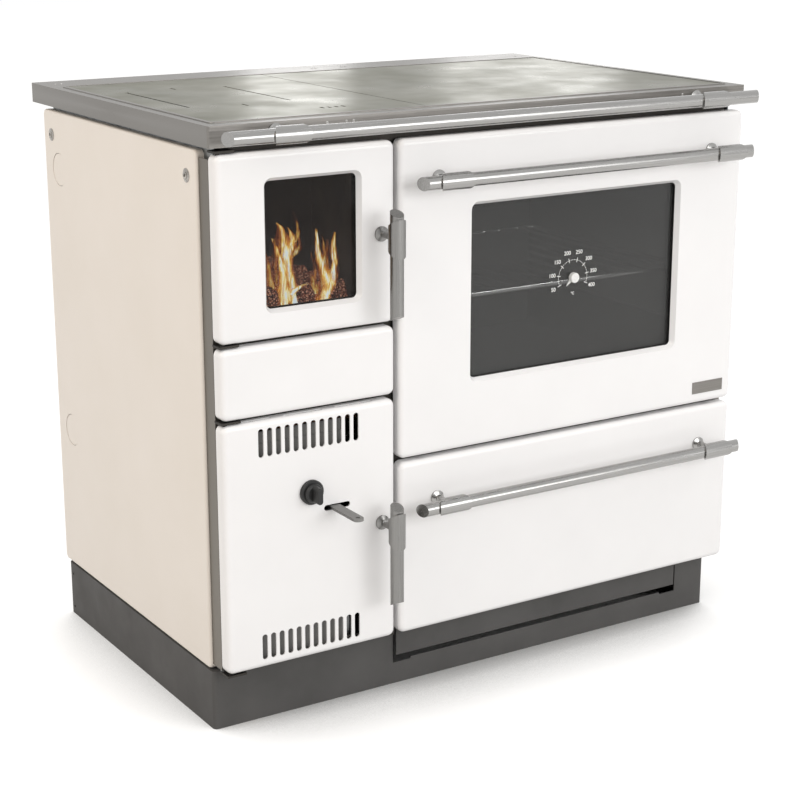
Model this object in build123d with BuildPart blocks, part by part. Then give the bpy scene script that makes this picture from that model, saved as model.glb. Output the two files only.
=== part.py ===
from build123d import *
from math import atan, cos, degrees, radians, sin, tan
import os

# A free-standing wood cookstove. The fire column is on the left, the oven and its drawer on the right.
# +X is right, +Y is back, +Z is up. The origin is on the floor, under the middle of the worktop.

# ---------------------------------------------------------------- overall size
top_width = 900.0  # worktop, side to side
top_depth = 600.0  # worktop, front to back
total_height = 850.0  # floor to the lip round the hob
fascia_height = 30.0  # turned-down edge of the worktop
body_back_inset = 46.0  # the body stops short of the worktop's back edge, which leaves room for the flue
plinth_height = 87.0
plinth_side_inset = 4.0
plinth_front_inset = 38.0
frame_sheet = 1.5  # carcass sheet steel
casing_sheet = 2.0  # plinth, worktop frame and oven sheet steel

# ---------------------------------------------------------------- clearances
running_clearance = 0.05  # round a shaft or a pin that turns
slide_clearance = 0.3  # under a part that lies or slides on another
moving_gap = 1.0  # round a part that swings or lifts past another

# ---------------------------------------------------------------- enamelled fronts
front_proud = 7.0  # the fronts stand this far ahead of the worktop's edge
front_depth = 19.0  # of the pressed pan
front_wall = 2.0
front_edge_radius = 8.0
front_corner_radius = 10.0
front_side_inset = 5.5
front_gap = 6.0  # between one front and the next, above each other
column_gap = 7.8  # between the two columns
fascia_gap = 8.0  # between the fronts and the worktop
plinth_gap = 11.0  # between the fronts and the plinth
seal_gap = 4.0  # between the back of the fronts and the carcass
left_column_width = 268.7
firebox_door_height = 249.0
middle_panel_height = 98.0
oven_door_height = 450.0

worktop_front = -top_depth / 2
worktop_back = top_depth / 2
fascia_bottom = total_height - fascia_height
front_face = worktop_front - front_proud
front_back = front_face + front_depth
carcass_front = front_back + seal_gap
carcass_back = worktop_back - body_back_inset
fronts_left = -top_width / 2 + front_side_inset
fronts_right = top_width / 2 - front_side_inset
left_column_end = fronts_left + left_column_width
right_column_start = left_column_end + column_gap
left_column_x = (fronts_left + left_column_end) / 2
right_column_x = (right_column_start + fronts_right) / 2
right_column_width = fronts_right - right_column_start
fronts_top = fascia_bottom - fascia_gap
fronts_bottom = plinth_height + plinth_gap
firebox_door_bottom = fronts_top - firebox_door_height
middle_panel_top = firebox_door_bottom - front_gap
middle_panel_bottom = middle_panel_top - middle_panel_height
ash_door_top = middle_panel_bottom - front_gap
oven_door_bottom = fronts_top - oven_door_height
drawer_top = oven_door_bottom - front_gap

# ---------------------------------------------------------------- windows and vents
glass_recess = 8.0  # from the front's face to the glass
glass_thickness = 4.0
glass_overlap = 8.0  # of the glass behind the window's surround
window_bevel = 5.0
window_corner_radius = 12.0
firebox_window_width = 147.5
firebox_window_height = 179.5
firebox_window_shift = 8.4  # to the right of the door's middle
oven_window_width = right_column_width - 234.8
oven_window_height = oven_door_height - 190.5
oven_gasket_depth = 5.0  # from the oven window's surround back to its outer pane
inner_glass_thickness = 3.0
glass_clip = 6.0  # width of the clips round the inner pane
glass_clip_length = 24.0
vent_count = 12
vent_pitch = 13.43
vent_width = 8.2
upper_vent_height = 40.0
lower_vent_height = 37.0
upper_vent_drop = 30.5  # from the door's top edge to the vents' middle
lower_vent_rise = 31.0  # from the door's bottom edge to the vents' middle
vent_shift = -3.4
top_slot_count = 3
top_slot_length = 60.0
top_slot_pitch = 79.2
top_slot_width = 6.0
top_slot_setback = 9.8  # from the door's face to the slots' middle
top_slot_shift = 7.0

# ---------------------------------------------------------------- hinges and latches
hinge_side_inset = 8.0  # from the front's edge to the hinge's axis
hinge_front_inset = 9.0  # from the front's face to the hinge's axis
hinge_pin_radius = 3.0
hinge_pin_length = 22.0
hinge_socket_setback = 9.0  # from a door's end to the socket for its pin
hinge_plate = 3.0
hinge_block = 13.0
socket_half = 4.3  # from the hinge's axis to the socket's sides
socket_foot = 2.5  # from the hinge's axis to the socket's foot
hinge_plate_inset = 0.5  # from the front's edge to the hinge plates
hinge_plate_tail = 10.0
oven_hinge_arm = 7.0  # height of the oven door's hinge arms
oven_hinge_width = 5.0
oven_hinge_margin = 40.0  # from the oven door's ends to its hinge arms

# ---------------------------------------------------------------- rails and handles
bar_radius = 9.5
bar_end_angle = 25.0  # the bars' ends are cut on the slant, and their back is longer
sleeve_radius = 12.0
sleeve_length = 40.0
sleeve_end_angle = 30.0  # the sleeves' ends slant the other way
standoff = 40.0  # from the front's face to the bar's axis
rosette_radius = 10.5
rosette_thickness = 3.5
post_radius = 6.0
front_rail_insets = (12.0, 17.0)  # from the column's two edges to the ends of its rails
front_rail_post_inset = 62.25
worktop_rail_insets = (8.0, 12.0)  # from the worktop's two ends to the ends of its rail
worktop_rail_post_inset = 96.5
oven_rail_drop = 55.5  # from the oven door's top to its rail
drawer_rail_drop = 60.0  # from the drawer's top to its rail
rail_height_in_fascia = 16.0  # from the fascia's bottom to the worktop rail
handle_x_inset = 22.2  # from the door's free edge to the handle's shaft
handle_above = 33.5  # of the bar above its shaft
handle_below = 109.5  # of the bar below its shaft
shaft_radius = 4.0
bush_radius = 8.0
handle_turn_clearance = 0.3  # between a turning rosette or skirt and the enamel
cam_thickness = 4.0
cam_reach = 12.0

# ---------------------------------------------------------------- air control and shaker
knob_x = left_column_x - 1.8
knob_drop = 112.0  # from the ash door's top to the knob
knob_radius = 17.5
knob_skirt = 6.0
knob_hub_radius = 13.5
knob_hub = 6.0  # of the round hub on the skirt
knob_depth = 27.0
knob_grip_width = 10.0
knob_grip_length = 25.0
knob_notch_width = 7.0
knob_notch_depth = 5.0
spindle_radius = 4.0
lever_drop = 139.0  # from the ash door's top to the lever
lever_width = 15.5
lever_thickness = 4.0
lever_x_shift = 34.4  # from the door's middle to the lever
lever_reach = 72.0  # ahead of the door's face
lever_slot_left = 8.0  # from the lever's edge to the slot's end
lever_slot_right = 18.0  # room for the lever as the door swings past it
lever_slot_height = 8.0
lever_slot_drop = 1.0  # of the slot's middle below the lever's
shaker_travel = 25.0
shield_depth = 10.0  # from the door's face to the heat shield
shield_left_inset = 17.5
shield_right_inset = 82.0
shield_margin = 8.0
shield_top_margin = 18.0
shield_lap_drop = 34.0  # from the door's top to the top edge of the shield's lower sheet
shield_lap = 10.0
spacer_radius = 4.0
spacer_inset = 10.0
spacer_rise = 20.0
flap_width = 110.0
flap_height = 56.0
flap_thickness = 2.0
flap_pin_radius = 2.5
flap_shift = 31.4  # from the vents' middle to the flap's
flap_offset = 0.5  # of the flap's pin from the shield
flap_axis_rise = 12.5
flap_lap = 5.0
flap_lug = 3.0
flap_lug_gap = 0.5

# ---------------------------------------------------------------- fire column
brick_thickness = 30.0
brick_joint = 0.6
bricks_per_side = 3
firebox_depth = 412.0
firebox_front_setback = 22.0  # from the carcass front to the bricks
hearth_drop = 53.0  # from the ash door's top to the hearth
hearth_thickness = 4.0
firebox_top_gap = 50.0  # smoke passage over the bricks
grate_length = 310.0
grate_shift = 6.0  # of the grate's middle behind the firebox's
hearth_opening_width = 150.0
hearth_opening_depth = 280.0
grate_overlap = 7.0  # of the grate over each side of the hearth's opening
grate_bar_count = 9
grate_bar_thickness = 8.0
grate_depth = 12.0
grate_foot = 4.0
grate_side_clearance = 1.0
lever_upright_margin = 15.0  # from the hearth opening's front to the lever's upright, pulled out
lever_hole_radius = 3.0
ash_pan_width = 176.0
ash_pan_depth = 400.0
ash_pan_height = 95.0
ash_pan_sheet = 1.5
ash_pan_setback = 42.0  # from the carcass front to the pan
bail_width = 60.0
bail_reach = 12.0
bail_radius = 2.5

# ---------------------------------------------------------------- oven and drawer
oven_side_margin = 56.25  # from the column's edges to the oven
oven_floor_rise = 38.0  # from the oven door's foot to the oven's floor
oven_top_drop = 32.0  # from the fronts' top to the oven's ceiling
oven_depth = 440.0
oven_flange = 5.0  # of the liner's flange below the oven's floor
oven_corner = 12.0
rack_wire_radius = 2.5
rack_frame_radius = 3.5
rack_wire_count = 13
rack_drop = 212.0  # from the oven's ceiling to the rack
rack_level_pitch = 84.0
rack_level_count = 2
rack_side_clearance = 3.0
rack_depth = 400.0
rack_ledge = 12.0
rack_setback = 22.0  # from the carcass front to the rack
rack_corner = 20.0
oven_hinge_rise = 8.0  # from the oven door's bottom edge to its hinge's axis
oven_pin_radius = 2.5
oven_socket_width = 9.0
oven_bracket_rise = 25.0
dial_hub_radius = 7.5
dial_hub_depth = 6.5
dial_spindle_radius = 2.0
pointer_angle = 225.0
pointer_length = 17.0
pointer_thickness = 1.2
badge_width = 60.0
badge_height = 18.5
badge_side_inset = 18.3
badge_bottom_inset = 16.0
badge_thickness = 1.0
drawer_side_margin = 26.25  # from the column's edges to the drawer's box
drawer_top_drop = 45.0  # from the drawer front's top to the box's
drawer_box_depth = 436.0
drawer_sheet = 1.5
drawer_floor_rise = 8.0  # from the fronts' bottom edge to the drawer's floor
runner_rise = 59.5  # from the plinth's top to the runner
runner_web = 20.0
slide_strip = 5.0
slide_strip_height = 3.0
drawer_rail_lap = 11.0  # of the cross rail behind the drawer's top edge
kick_flange = 16.0
kick_front_offset = 5.5  # ahead of the plinth's face
kick_gaps = (2.5, 7.0)  # to the left and right ends of the plinth's opening
kick_bottom_gap = 14.0

# ---------------------------------------------------------------- plinth opening
plinth_opening_left = right_column_start + 15.6
plinth_opening_right = fronts_right - 58.5
plinth_opening_bottom = 33.0
plinth_lip_height = 3.0
plinth_lip_inset = 31.0
plinth_corner_radius = 6.0
plinth_foot = 28.0  # of the flange turned in along the floor

# ---------------------------------------------------------------- worktop and hob
hob_side_inset = 20.0
hob_front_inset = 27.0
hob_back_inset = 88.0
hob_lip_height = 1.5
hob_lip_width = 5.0
hob_ledge = 12.0
hob_plate_thickness = 5.5
hob_plate_sink = 0.8  # of the plates below the lip's top
hob_corner_radius = 3.0
hob_seam_x = right_column_start + 66.0
hob_seam = 1.5
hob_slot_spacing = 158.0
hob_slot_length = 205.0
hob_slot_width = 3.0
hob_slot_y = -13.0
hob_tick_length = 20.0
hob_dash_count = 4
hob_dash_pitch = 11.0
hob_dash_size = (4.0, 12.0)
hob_dash_y = -212.0
hob_bore_radius = 3.0  # of the bore at the back end of each slot

# ---------------------------------------------------------------- side panels, strips and flue
side_panel_face_inset = 3.0  # from the worktop's edge
side_panel_depth = 12.5
side_panel_front = worktop_front + 44.0
side_panel_back = worktop_back - 35.0
side_panel_bottom_gap = 3.0
side_panel_top_gap = 7.0
side_panel_edge_radius = 4.0
side_panel_corner_radius = 8.0
knockout_radius = 25.0
knockout_gap = 0.8
knockout_sink = 0.5  # of the discs below the panel's face
knockout_back_inset = 54.5
knockout_rise = 229.0  # from the panel's foot to the lower disc
knockout_drop = 86.0  # from the panel's top to the upper disc
strip_inset = 7.0  # from the worktop's edge to the strip
strip_width = 18.0
strip_top_gap = 16.0
mullion_width = 16.0
mullion_depth = 14.0
header_lap = 16.0  # of the header behind the fronts' top
hat_brim = 14.0
hat_margin = 6.0
flue_radius = 74.5
flue_wall = 2.0
flue_length = 44.0
flue_flange = 18.0
flue_x = top_width / 2 - 200.0
flue_height = total_height - 160.0

os.makedirs("parts", exist_ok=True)


def front_plane(y: float) -> Plane:
    """Upright plane at the depth y, where local x is X, local y is Z and extruding goes forward."""
    return Plane.XZ.offset(-y)


def block(x_span: tuple, y_span: tuple, z_span: tuple, mode: Mode = Mode.ADD) -> None:
    """Adds or cuts a straight block between pairs of planes, in the active block."""
    with BuildSketch(Plane.XY.offset(z_span[0])) as profile:
        with Locations((sum(x_span) / 2, sum(y_span) / 2)):
            Rectangle(x_span[1] - x_span[0], y_span[1] - y_span[0])
    extrude(profile.sketch, amount=z_span[1] - z_span[0], mode=mode)


def pressed_pan(x_span: tuple, z_span: tuple) -> None:
    """Adds an enamelled front, pressed from sheet and open at the back, to the active block."""
    with BuildSketch(front_plane(front_back)) as profile:
        with Locations((sum(x_span) / 2, sum(z_span) / 2)):
            RectangleRounded(x_span[1] - x_span[0], z_span[1] - z_span[0], front_corner_radius)
    extrude(profile.sketch, amount=front_depth)
    fillet(faces().sort_by(Axis.Y)[0].edges(), front_edge_radius)
    offset(amount=-front_wall, openings=faces().sort_by(Axis.Y)[-1])


def dished_window(x: float, z: float, width: float, height: float) -> None:
    """Adds a window's dished surround to the pan in the active block, and cuts the window through it."""
    with BuildSketch(front_plane(glass_front)) as profile:
        with Locations((x, z)):
            RectangleRounded(
                width + 2 * front_wall,
                height + 2 * front_wall,
                window_corner_radius + front_wall,
            )
    extrude(profile.sketch, amount=glass_recess - front_wall / 2)
    inward = Plane(origin=(x, front_face, z), x_dir=(1, 0, 0), z_dir=(0, 1, 0))
    with BuildSketch(inward) as profile:
        RectangleRounded(width, height, window_corner_radius)
    extrude(profile.sketch, amount=glass_recess, taper=window_taper, mode=Mode.SUBTRACT)


def window_glass(x: float, z: float, width: float, height: float, y_span: tuple) -> None:
    """Adds a pane that covers a window of the given size, between two depths, to the active block."""
    with BuildSketch(front_plane(y_span[1])) as profile:
        with Locations((x, z)):
            RectangleRounded(
                width - 2 * window_bevel + 2 * glass_overlap,
                height - 2 * window_bevel + 2 * glass_overlap,
                glass_corner,
            )
    extrude(profile.sketch, amount=y_span[1] - y_span[0])


def glass_clamp(x: float, z: float, width: float, height: float) -> None:
    """Adds the frame that holds a window's glass against its surround to the active block."""
    opening = (width - 2 * window_bevel, height - 2 * window_bevel)
    with BuildSketch(front_plane(front_back)) as profile:
        with Locations((x, z)):
            Rectangle(opening[0] + 2 * glass_overlap, opening[1] + 2 * glass_overlap)
            Rectangle(*opening, mode=Mode.SUBTRACT)
    extrude(profile.sketch, amount=front_back - glass_back)


def door_lining(x_span: tuple, z_span: tuple, window: tuple = None) -> None:
    """Adds the sheet that closes a pan's back, open behind a window, to the active block."""
    fit = front_wall + slide_clearance
    with BuildSketch(front_plane(front_back)) as profile:
        with Locations((sum(x_span) / 2, sum(z_span) / 2)):
            RectangleRounded(
                x_span[1] - x_span[0] - 2 * fit,
                z_span[1] - z_span[0] - 2 * fit,
                front_corner_radius - fit,
            )
        if window:
            x, z, width, height = window
            with Locations((x, z)):
                RectangleRounded(
                    width - 2 * window_bevel,
                    height - 2 * window_bevel,
                    window_corner_radius - window_bevel,
                    mode=Mode.SUBTRACT,
                )
    extrude(profile.sketch, amount=frame_sheet)


def slanted_bar(centre: Vector, direction: Vector, length: float, radius: float, lean: float) -> None:
    """Adds a round bar along X or Z to the active block, with both ends cut on the slant.

    A positive lean leaves the back of the bar longer than its front, and a negative lean the front.
    """
    reach = length / 2 + radius * tan(radians(abs(lean)))
    along = Plane(origin=centre - direction * reach, x_dir=(0, 1, 0), z_dir=direction)
    with BuildSketch(along) as profile:
        Circle(radius)
    extrude(profile.sketch, amount=2 * reach)
    for side in (1, -1):
        outward = direction * side * cos(radians(lean)) + Vector(0, -1, 0) * sin(radians(lean))
        end = Plane(origin=centre + direction * side * (length / 2), z_dir=outward)
        with BuildSketch(end) as profile:
            Rectangle(6 * radius, 6 * radius)
        extrude(profile.sketch, amount=3 * radius, mode=Mode.SUBTRACT)


def post(x: float, z: float, face: float, bar_y: float) -> None:
    """Adds a turned post, from a rosette on the face to the sleeve round the bar, to the active block."""
    with BuildSketch(Plane(origin=(x, face, z), x_dir=(1, 0, 0), z_dir=(0, 0, 1))) as profile:
        with BuildLine():
            Polyline(
                (0, 0),
                (rosette_radius, 0),
                (rosette_radius, -rosette_thickness * 0.6),
                (rosette_radius * 0.75, -rosette_thickness),
                (post_radius * 0.8, -rosette_thickness - 1.5),
                (post_radius * 0.8, -(face - bar_y) * 0.55),
                (post_radius, -(face - bar_y) + sleeve_radius),
                (post_radius, -(face - bar_y)),
                (0, -(face - bar_y)),
                close=True,
            )
        make_face()
    revolve(profile.sketch, axis=Axis((x, face, z), (0, 1, 0)))


# ---------------------------------------------------------------- derived places
glass_front = front_face + glass_recess
glass_back = glass_front + glass_thickness
window_taper = degrees(atan(window_bevel / glass_recess))
glass_corner = window_corner_radius - window_bevel + glass_overlap
firebox_window_x = left_column_x + firebox_window_shift
firebox_window_z = (fronts_top + firebox_door_bottom) / 2
oven_window_z = (fronts_top + oven_door_bottom) / 2
left_span = (fronts_left, left_column_end)
right_span = (right_column_start, fronts_right)
firebox_window = (firebox_window_x, firebox_window_z, firebox_window_width, firebox_window_height)
oven_window = (right_column_x, oven_window_z, oven_window_width, oven_window_height)
shell_left = -top_width / 2 + side_panel_face_inset + side_panel_depth
shell_right = -shell_left
inside_left = shell_left + frame_sheet
inside_right = shell_right - frame_sheet
frame_top = total_height - hob_lip_height
frame_under = frame_top - casing_sheet
carcass_inner_front = carcass_front + frame_sheet
partition_x = (left_column_end + right_column_start) / 2
floor_top = plinth_height + casing_sheet

# ================================================================ plinth
plinth_left = -top_width / 2 + plinth_side_inset
plinth_front = worktop_front + plinth_front_inset
with BuildPart() as plinth:
    with BuildSketch():
        with Locations((0, (plinth_front + carcass_back) / 2)):
            RectangleRounded(-2 * plinth_left, carcass_back - plinth_front, plinth_corner_radius)
    extrude(amount=plinth_height)
    with BuildSketch():
        with Locations((0, (plinth_front + carcass_back) / 2)):
            Rectangle(-2 * plinth_left - 2 * plinth_foot, carcass_back - plinth_front - 2 * plinth_foot)
    extrude(amount=plinth_height, mode=Mode.SUBTRACT)
    with BuildSketch(Plane.XY.offset(casing_sheet)):
        with Locations((0, (plinth_front + carcass_back) / 2)):
            RectangleRounded(
                -2 * (plinth_left + casing_sheet),
                carcass_back - plinth_front - 2 * casing_sheet,
                plinth_corner_radius - casing_sheet,
            )
    extrude(amount=plinth_height - 2 * casing_sheet, mode=Mode.SUBTRACT)
    block(
        (plinth_opening_left, plinth_opening_right),
        (plinth_front - 1, plinth_front + plinth_foot),
        (plinth_opening_bottom, plinth_height),
        Mode.SUBTRACT,
    )
    with BuildSketch(Plane.YZ.offset(plinth_opening_left + plinth_lip_inset)):
        with Locations((plinth_front + plinth_lip_height / 2, plinth_opening_bottom)):
            Circle(plinth_lip_height / 2)
            with Locations((0, plinth_lip_height / 2)):
                Circle(plinth_lip_height / 2)
        make_hull()
    extrude(amount=plinth_opening_right - plinth_opening_left - 2 * plinth_lip_inset)
plinth.part.label = "plinth"
export_step(plinth.part, "parts/plinth.step")

# ================================================================ carcass sheets
with BuildPart() as carcass_floor:
    block((shell_left, shell_right), (plinth_front, carcass_back), (plinth_height, floor_top))
carcass_floor.part.label = "carcass_floor"
export_step(carcass_floor.part, "parts/carcass_floor.step")

carcass_sides = {
    "carcass_side_left": (shell_left, inside_left),
    "carcass_side_right": (inside_right, shell_right),
}
for name, span in carcass_sides.items():
    with BuildPart() as carcass_side:
        block(span, (carcass_inner_front, carcass_back - frame_sheet), (floor_top, frame_under))
    carcass_side.part.label = name
    export_step(carcass_side.part, f"parts/{name}.step")

with BuildPart() as carcass_rear:
    block((shell_left, shell_right), (carcass_back - frame_sheet, carcass_back), (floor_top, frame_under))
    with BuildSketch(front_plane(carcass_back)):
        with Locations((flue_x, flue_height)):
            Circle(flue_radius - flue_wall)
    extrude(amount=frame_sheet, mode=Mode.SUBTRACT)
carcass_rear.part.label = "carcass_rear"
export_step(carcass_rear.part, "parts/carcass_rear.step")

with BuildPart() as partition:
    block(
        (partition_x - frame_sheet / 2, partition_x + frame_sheet / 2),
        (carcass_inner_front, carcass_back - frame_sheet),
        (floor_top, fronts_top - firebox_top_gap / 2),
    )
partition.part.label = "partition"
export_step(partition.part, "parts/partition.step")

with BuildPart() as flue_collar:
    with BuildSketch(front_plane(carcass_back)):
        with Locations((flue_x, flue_height)):
            Circle(flue_radius + flue_flange)
            Circle(flue_radius - flue_wall, mode=Mode.SUBTRACT)
    extrude(amount=-casing_sheet)
    with BuildSketch(front_plane(carcass_back)):
        with Locations((flue_x, flue_height)):
            Circle(flue_radius)
            Circle(flue_radius - flue_wall, mode=Mode.SUBTRACT)
    extrude(amount=-flue_length)
flue_collar.part.label = "flue_collar"
export_step(flue_collar.part, "parts/flue_collar.step")

# ================================================================ carcass front
strip_left = -top_width / 2 + strip_inset
strip_lip = strip_left + frame_sheet
strip_inner = strip_left + strip_width
strip_back = side_panel_front - slide_clearance
strip_top = fascia_bottom - strip_top_gap
with BuildPart() as corner_strip_left:
    with BuildSketch(Plane.XY.offset(fronts_bottom)):
        with BuildLine():
            Polyline(
                (strip_left, strip_back),
                (strip_left, carcass_front),
                (strip_inner, carcass_front),
                (strip_inner, carcass_inner_front),
                (strip_lip, carcass_inner_front),
                (strip_lip, strip_back),
                close=True,
            )
        make_face()
    extrude(amount=strip_top - fronts_bottom)
corner_strip_left.part.label = "corner_strip_left"
export_step(corner_strip_left.part, "parts/corner_strip_left.step")

with BuildPart() as corner_strip_right:
    add(mirror(corner_strip_left.part, about=Plane.YZ, mode=Mode.PRIVATE))
corner_strip_right.part.label = "corner_strip_right"
export_step(corner_strip_right.part, "parts/corner_strip_right.step")

# The header carries the worktop over the fronts, and the mullion stands between the two columns.
header_bottom = fronts_top - header_lap
with BuildPart() as front_header:
    block((strip_inner, -strip_inner), (carcass_front, carcass_inner_front), (header_bottom, frame_under))
front_header.part.label = "front_header"
export_step(front_header.part, "parts/front_header.step")

mullion_left = partition_x - mullion_width / 2
mullion_right = partition_x + mullion_width / 2
with BuildPart() as front_mullion:
    with BuildSketch(Plane.XY.offset(floor_top)):
        with BuildLine():
            Polyline(
                (mullion_left, carcass_front),
                (mullion_right, carcass_front),
                (mullion_right, carcass_front + mullion_depth),
                (mullion_right - frame_sheet, carcass_front + mullion_depth),
                (mullion_right - frame_sheet, carcass_inner_front),
                (mullion_left + frame_sheet, carcass_inner_front),
                (mullion_left + frame_sheet, carcass_front + mullion_depth),
                (mullion_left, carcass_front + mullion_depth),
                close=True,
            )
        make_face()
    extrude(amount=header_bottom - floor_top)
front_mullion.part.label = "front_mullion"
export_step(front_mullion.part, "parts/front_mullion.step")

# A hat-shaped rail closes the carcass behind the middle panel and carries that panel on its crown.
with BuildPart() as middle_rail:
    with BuildSketch(Plane.YZ.offset(strip_inner)):
        with BuildLine():
            Polyline(
                (carcass_front, middle_panel_bottom - hat_brim),
                (carcass_front, middle_panel_bottom + hat_margin),
                (front_back, middle_panel_bottom + hat_margin),
                (front_back, middle_panel_top - hat_margin),
                (carcass_front, middle_panel_top - hat_margin),
                (carcass_front, middle_panel_top + hat_brim),
                (carcass_inner_front, middle_panel_top + hat_brim),
                (carcass_inner_front, middle_panel_top - hat_margin - frame_sheet),
                (front_back + frame_sheet, middle_panel_top - hat_margin - frame_sheet),
                (front_back + frame_sheet, middle_panel_bottom + hat_margin + frame_sheet),
                (carcass_inner_front, middle_panel_bottom + hat_margin + frame_sheet),
                (carcass_inner_front, middle_panel_bottom - hat_brim),
                close=True,
            )
        make_face()
    extrude(amount=mullion_left - strip_inner)
middle_rail.part.label = "middle_rail"
export_step(middle_rail.part, "parts/middle_rail.step")

with BuildPart() as middle_panel:
    pressed_pan(left_span, (middle_panel_bottom, middle_panel_top))
    block(
        (mullion_left - 3 * hat_brim, mullion_left - hat_brim),
        (front_back - front_depth + front_wall, front_back),
        (middle_panel_bottom + hat_brim, middle_panel_top - hat_brim),
    )
    block(
        (strip_inner + hat_brim, strip_inner + 3 * hat_brim),
        (front_back - front_depth + front_wall, front_back),
        (middle_panel_bottom + hat_brim, middle_panel_top - hat_brim),
    )
middle_panel.part.label = "middle_panel"
export_step(middle_panel.part, "parts/middle_panel.step")

# ================================================================ side panels
panel_bottom = plinth_height + side_panel_bottom_gap
panel_top = fascia_bottom - side_panel_top_gap
panel_y = (side_panel_front + side_panel_back) / 2
panel_z = (panel_bottom + panel_top) / 2
knockout_y = side_panel_back - knockout_back_inset
knockout_low = panel_bottom + knockout_rise
knockout_high = panel_top - knockout_drop
for name, side in {"side_panel_left": -1, "side_panel_right": 1}.items():
    inner = Plane(origin=(-side * shell_left, 0, 0), x_dir=(0, 1, 0), z_dir=(side, 0, 0))
    rim_face = Axis.X if side < 0 else Axis((0, 0, 0), (-1, 0, 0))
    with BuildPart() as side_panel:
        with BuildSketch(inner):
            with Locations((panel_y, side * panel_z)):
                RectangleRounded(
                    side_panel_back - side_panel_front,
                    panel_top - panel_bottom,
                    side_panel_corner_radius,
                )
        extrude(amount=side_panel_depth)
        fillet(faces().sort_by(rim_face)[0].edges(), side_panel_edge_radius)
        with BuildSketch(inner):
            with Locations((panel_y, side * panel_z)):
                RectangleRounded(
                    side_panel_back - side_panel_front - 2 * frame_sheet,
                    panel_top - panel_bottom - 2 * frame_sheet,
                    side_panel_corner_radius - frame_sheet,
                )
        extrude(amount=side_panel_depth - frame_sheet, mode=Mode.SUBTRACT)
        with BuildSketch(inner.offset(side_panel_depth)):
            with Locations((knockout_y, side * knockout_low), (knockout_y, side * knockout_high)):
                Circle(knockout_radius)
        extrude(amount=-frame_sheet, mode=Mode.SUBTRACT)
    side_panel.part.label = name
    export_step(side_panel.part, f"parts/{name}.step")

# Each blanking disc sits a little sunk in its hole, and its boss is held against the carcass side behind it.
with BuildPart() as knockout_discs:
    for side in (-1, 1):
        inner = Plane(origin=(-side * shell_left, 0, 0), x_dir=(0, 1, 0), z_dir=(side, 0, 0))
        disc_centres = ((knockout_y, side * knockout_low), (knockout_y, side * knockout_high))
        with BuildSketch(inner):
            with Locations(*disc_centres):
                Circle(knockout_radius / 2)
        extrude(amount=side_panel_depth - knockout_sink)
        with BuildSketch(inner.offset(side_panel_depth - knockout_sink)):
            with Locations(*disc_centres):
                Circle(knockout_radius - knockout_gap)
        extrude(amount=-frame_sheet)
knockout_discs.part.label = "knockout_discs"
export_step(knockout_discs.part, "parts/knockout_discs.step")

# ================================================================ worktop frame and hob
hob_left = -top_width / 2 + hob_side_inset
hob_right = -hob_left
hob_front = worktop_front + hob_front_inset
hob_back = worktop_back - hob_back_inset
hob_y = (hob_front + hob_back) / 2
hob_width = hob_right - hob_left
hob_depth = hob_back - hob_front
ledge_top = total_height - hob_plate_sink - hob_plate_thickness - slide_clearance
with BuildPart() as hob_frame:
    with BuildSketch(Plane.XY.offset(fascia_bottom)):
        RectangleRounded(top_width, top_depth, hob_corner_radius)
    extrude(amount=frame_top - fascia_bottom)
    with BuildSketch(Plane.XY.offset(fascia_bottom)):
        RectangleRounded(
            top_width - 2 * casing_sheet,
            top_depth - 2 * casing_sheet,
            hob_corner_radius - casing_sheet,
        )
    extrude(amount=frame_under - fascia_bottom, mode=Mode.SUBTRACT)
    with BuildSketch(Plane.XY.offset(ledge_top - casing_sheet)):
        with Locations((0, hob_y)):
            RectangleRounded(
                hob_width + 2 * casing_sheet,
                hob_depth + 2 * casing_sheet,
                hob_corner_radius + casing_sheet,
            )
    extrude(amount=frame_top - ledge_top + casing_sheet)
    with BuildSketch(Plane.XY.offset(frame_top)):
        with Locations((0, hob_y)):
            RectangleRounded(
                hob_width + 2 * hob_lip_width,
                hob_depth + 2 * hob_lip_width,
                hob_corner_radius + hob_lip_width,
            )
    extrude(amount=hob_lip_height)
    fillet(faces().sort_by(Axis.Z)[-1].outer_wire().edges(), hob_lip_height * 0.8)
    with BuildSketch(Plane.XY.offset(ledge_top)):
        with Locations((0, hob_y)):
            RectangleRounded(hob_width, hob_depth, hob_corner_radius)
    extrude(amount=total_height - ledge_top, mode=Mode.SUBTRACT)
    with BuildSketch(Plane.XY.offset(ledge_top - casing_sheet)):
        with Locations((0, hob_y)):
            Rectangle(hob_width - 2 * hob_ledge, hob_depth - 2 * hob_ledge)
    extrude(amount=casing_sheet, mode=Mode.SUBTRACT)
    block(
        (hob_seam_x - hob_ledge, hob_seam_x + hob_ledge),
        (hob_front + hob_ledge, hob_back - hob_ledge),
        (ledge_top - 2 * casing_sheet, ledge_top),
    )
hob_frame.part.label = "hob_frame"
export_step(hob_frame.part, "parts/hob_frame.step")

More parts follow.
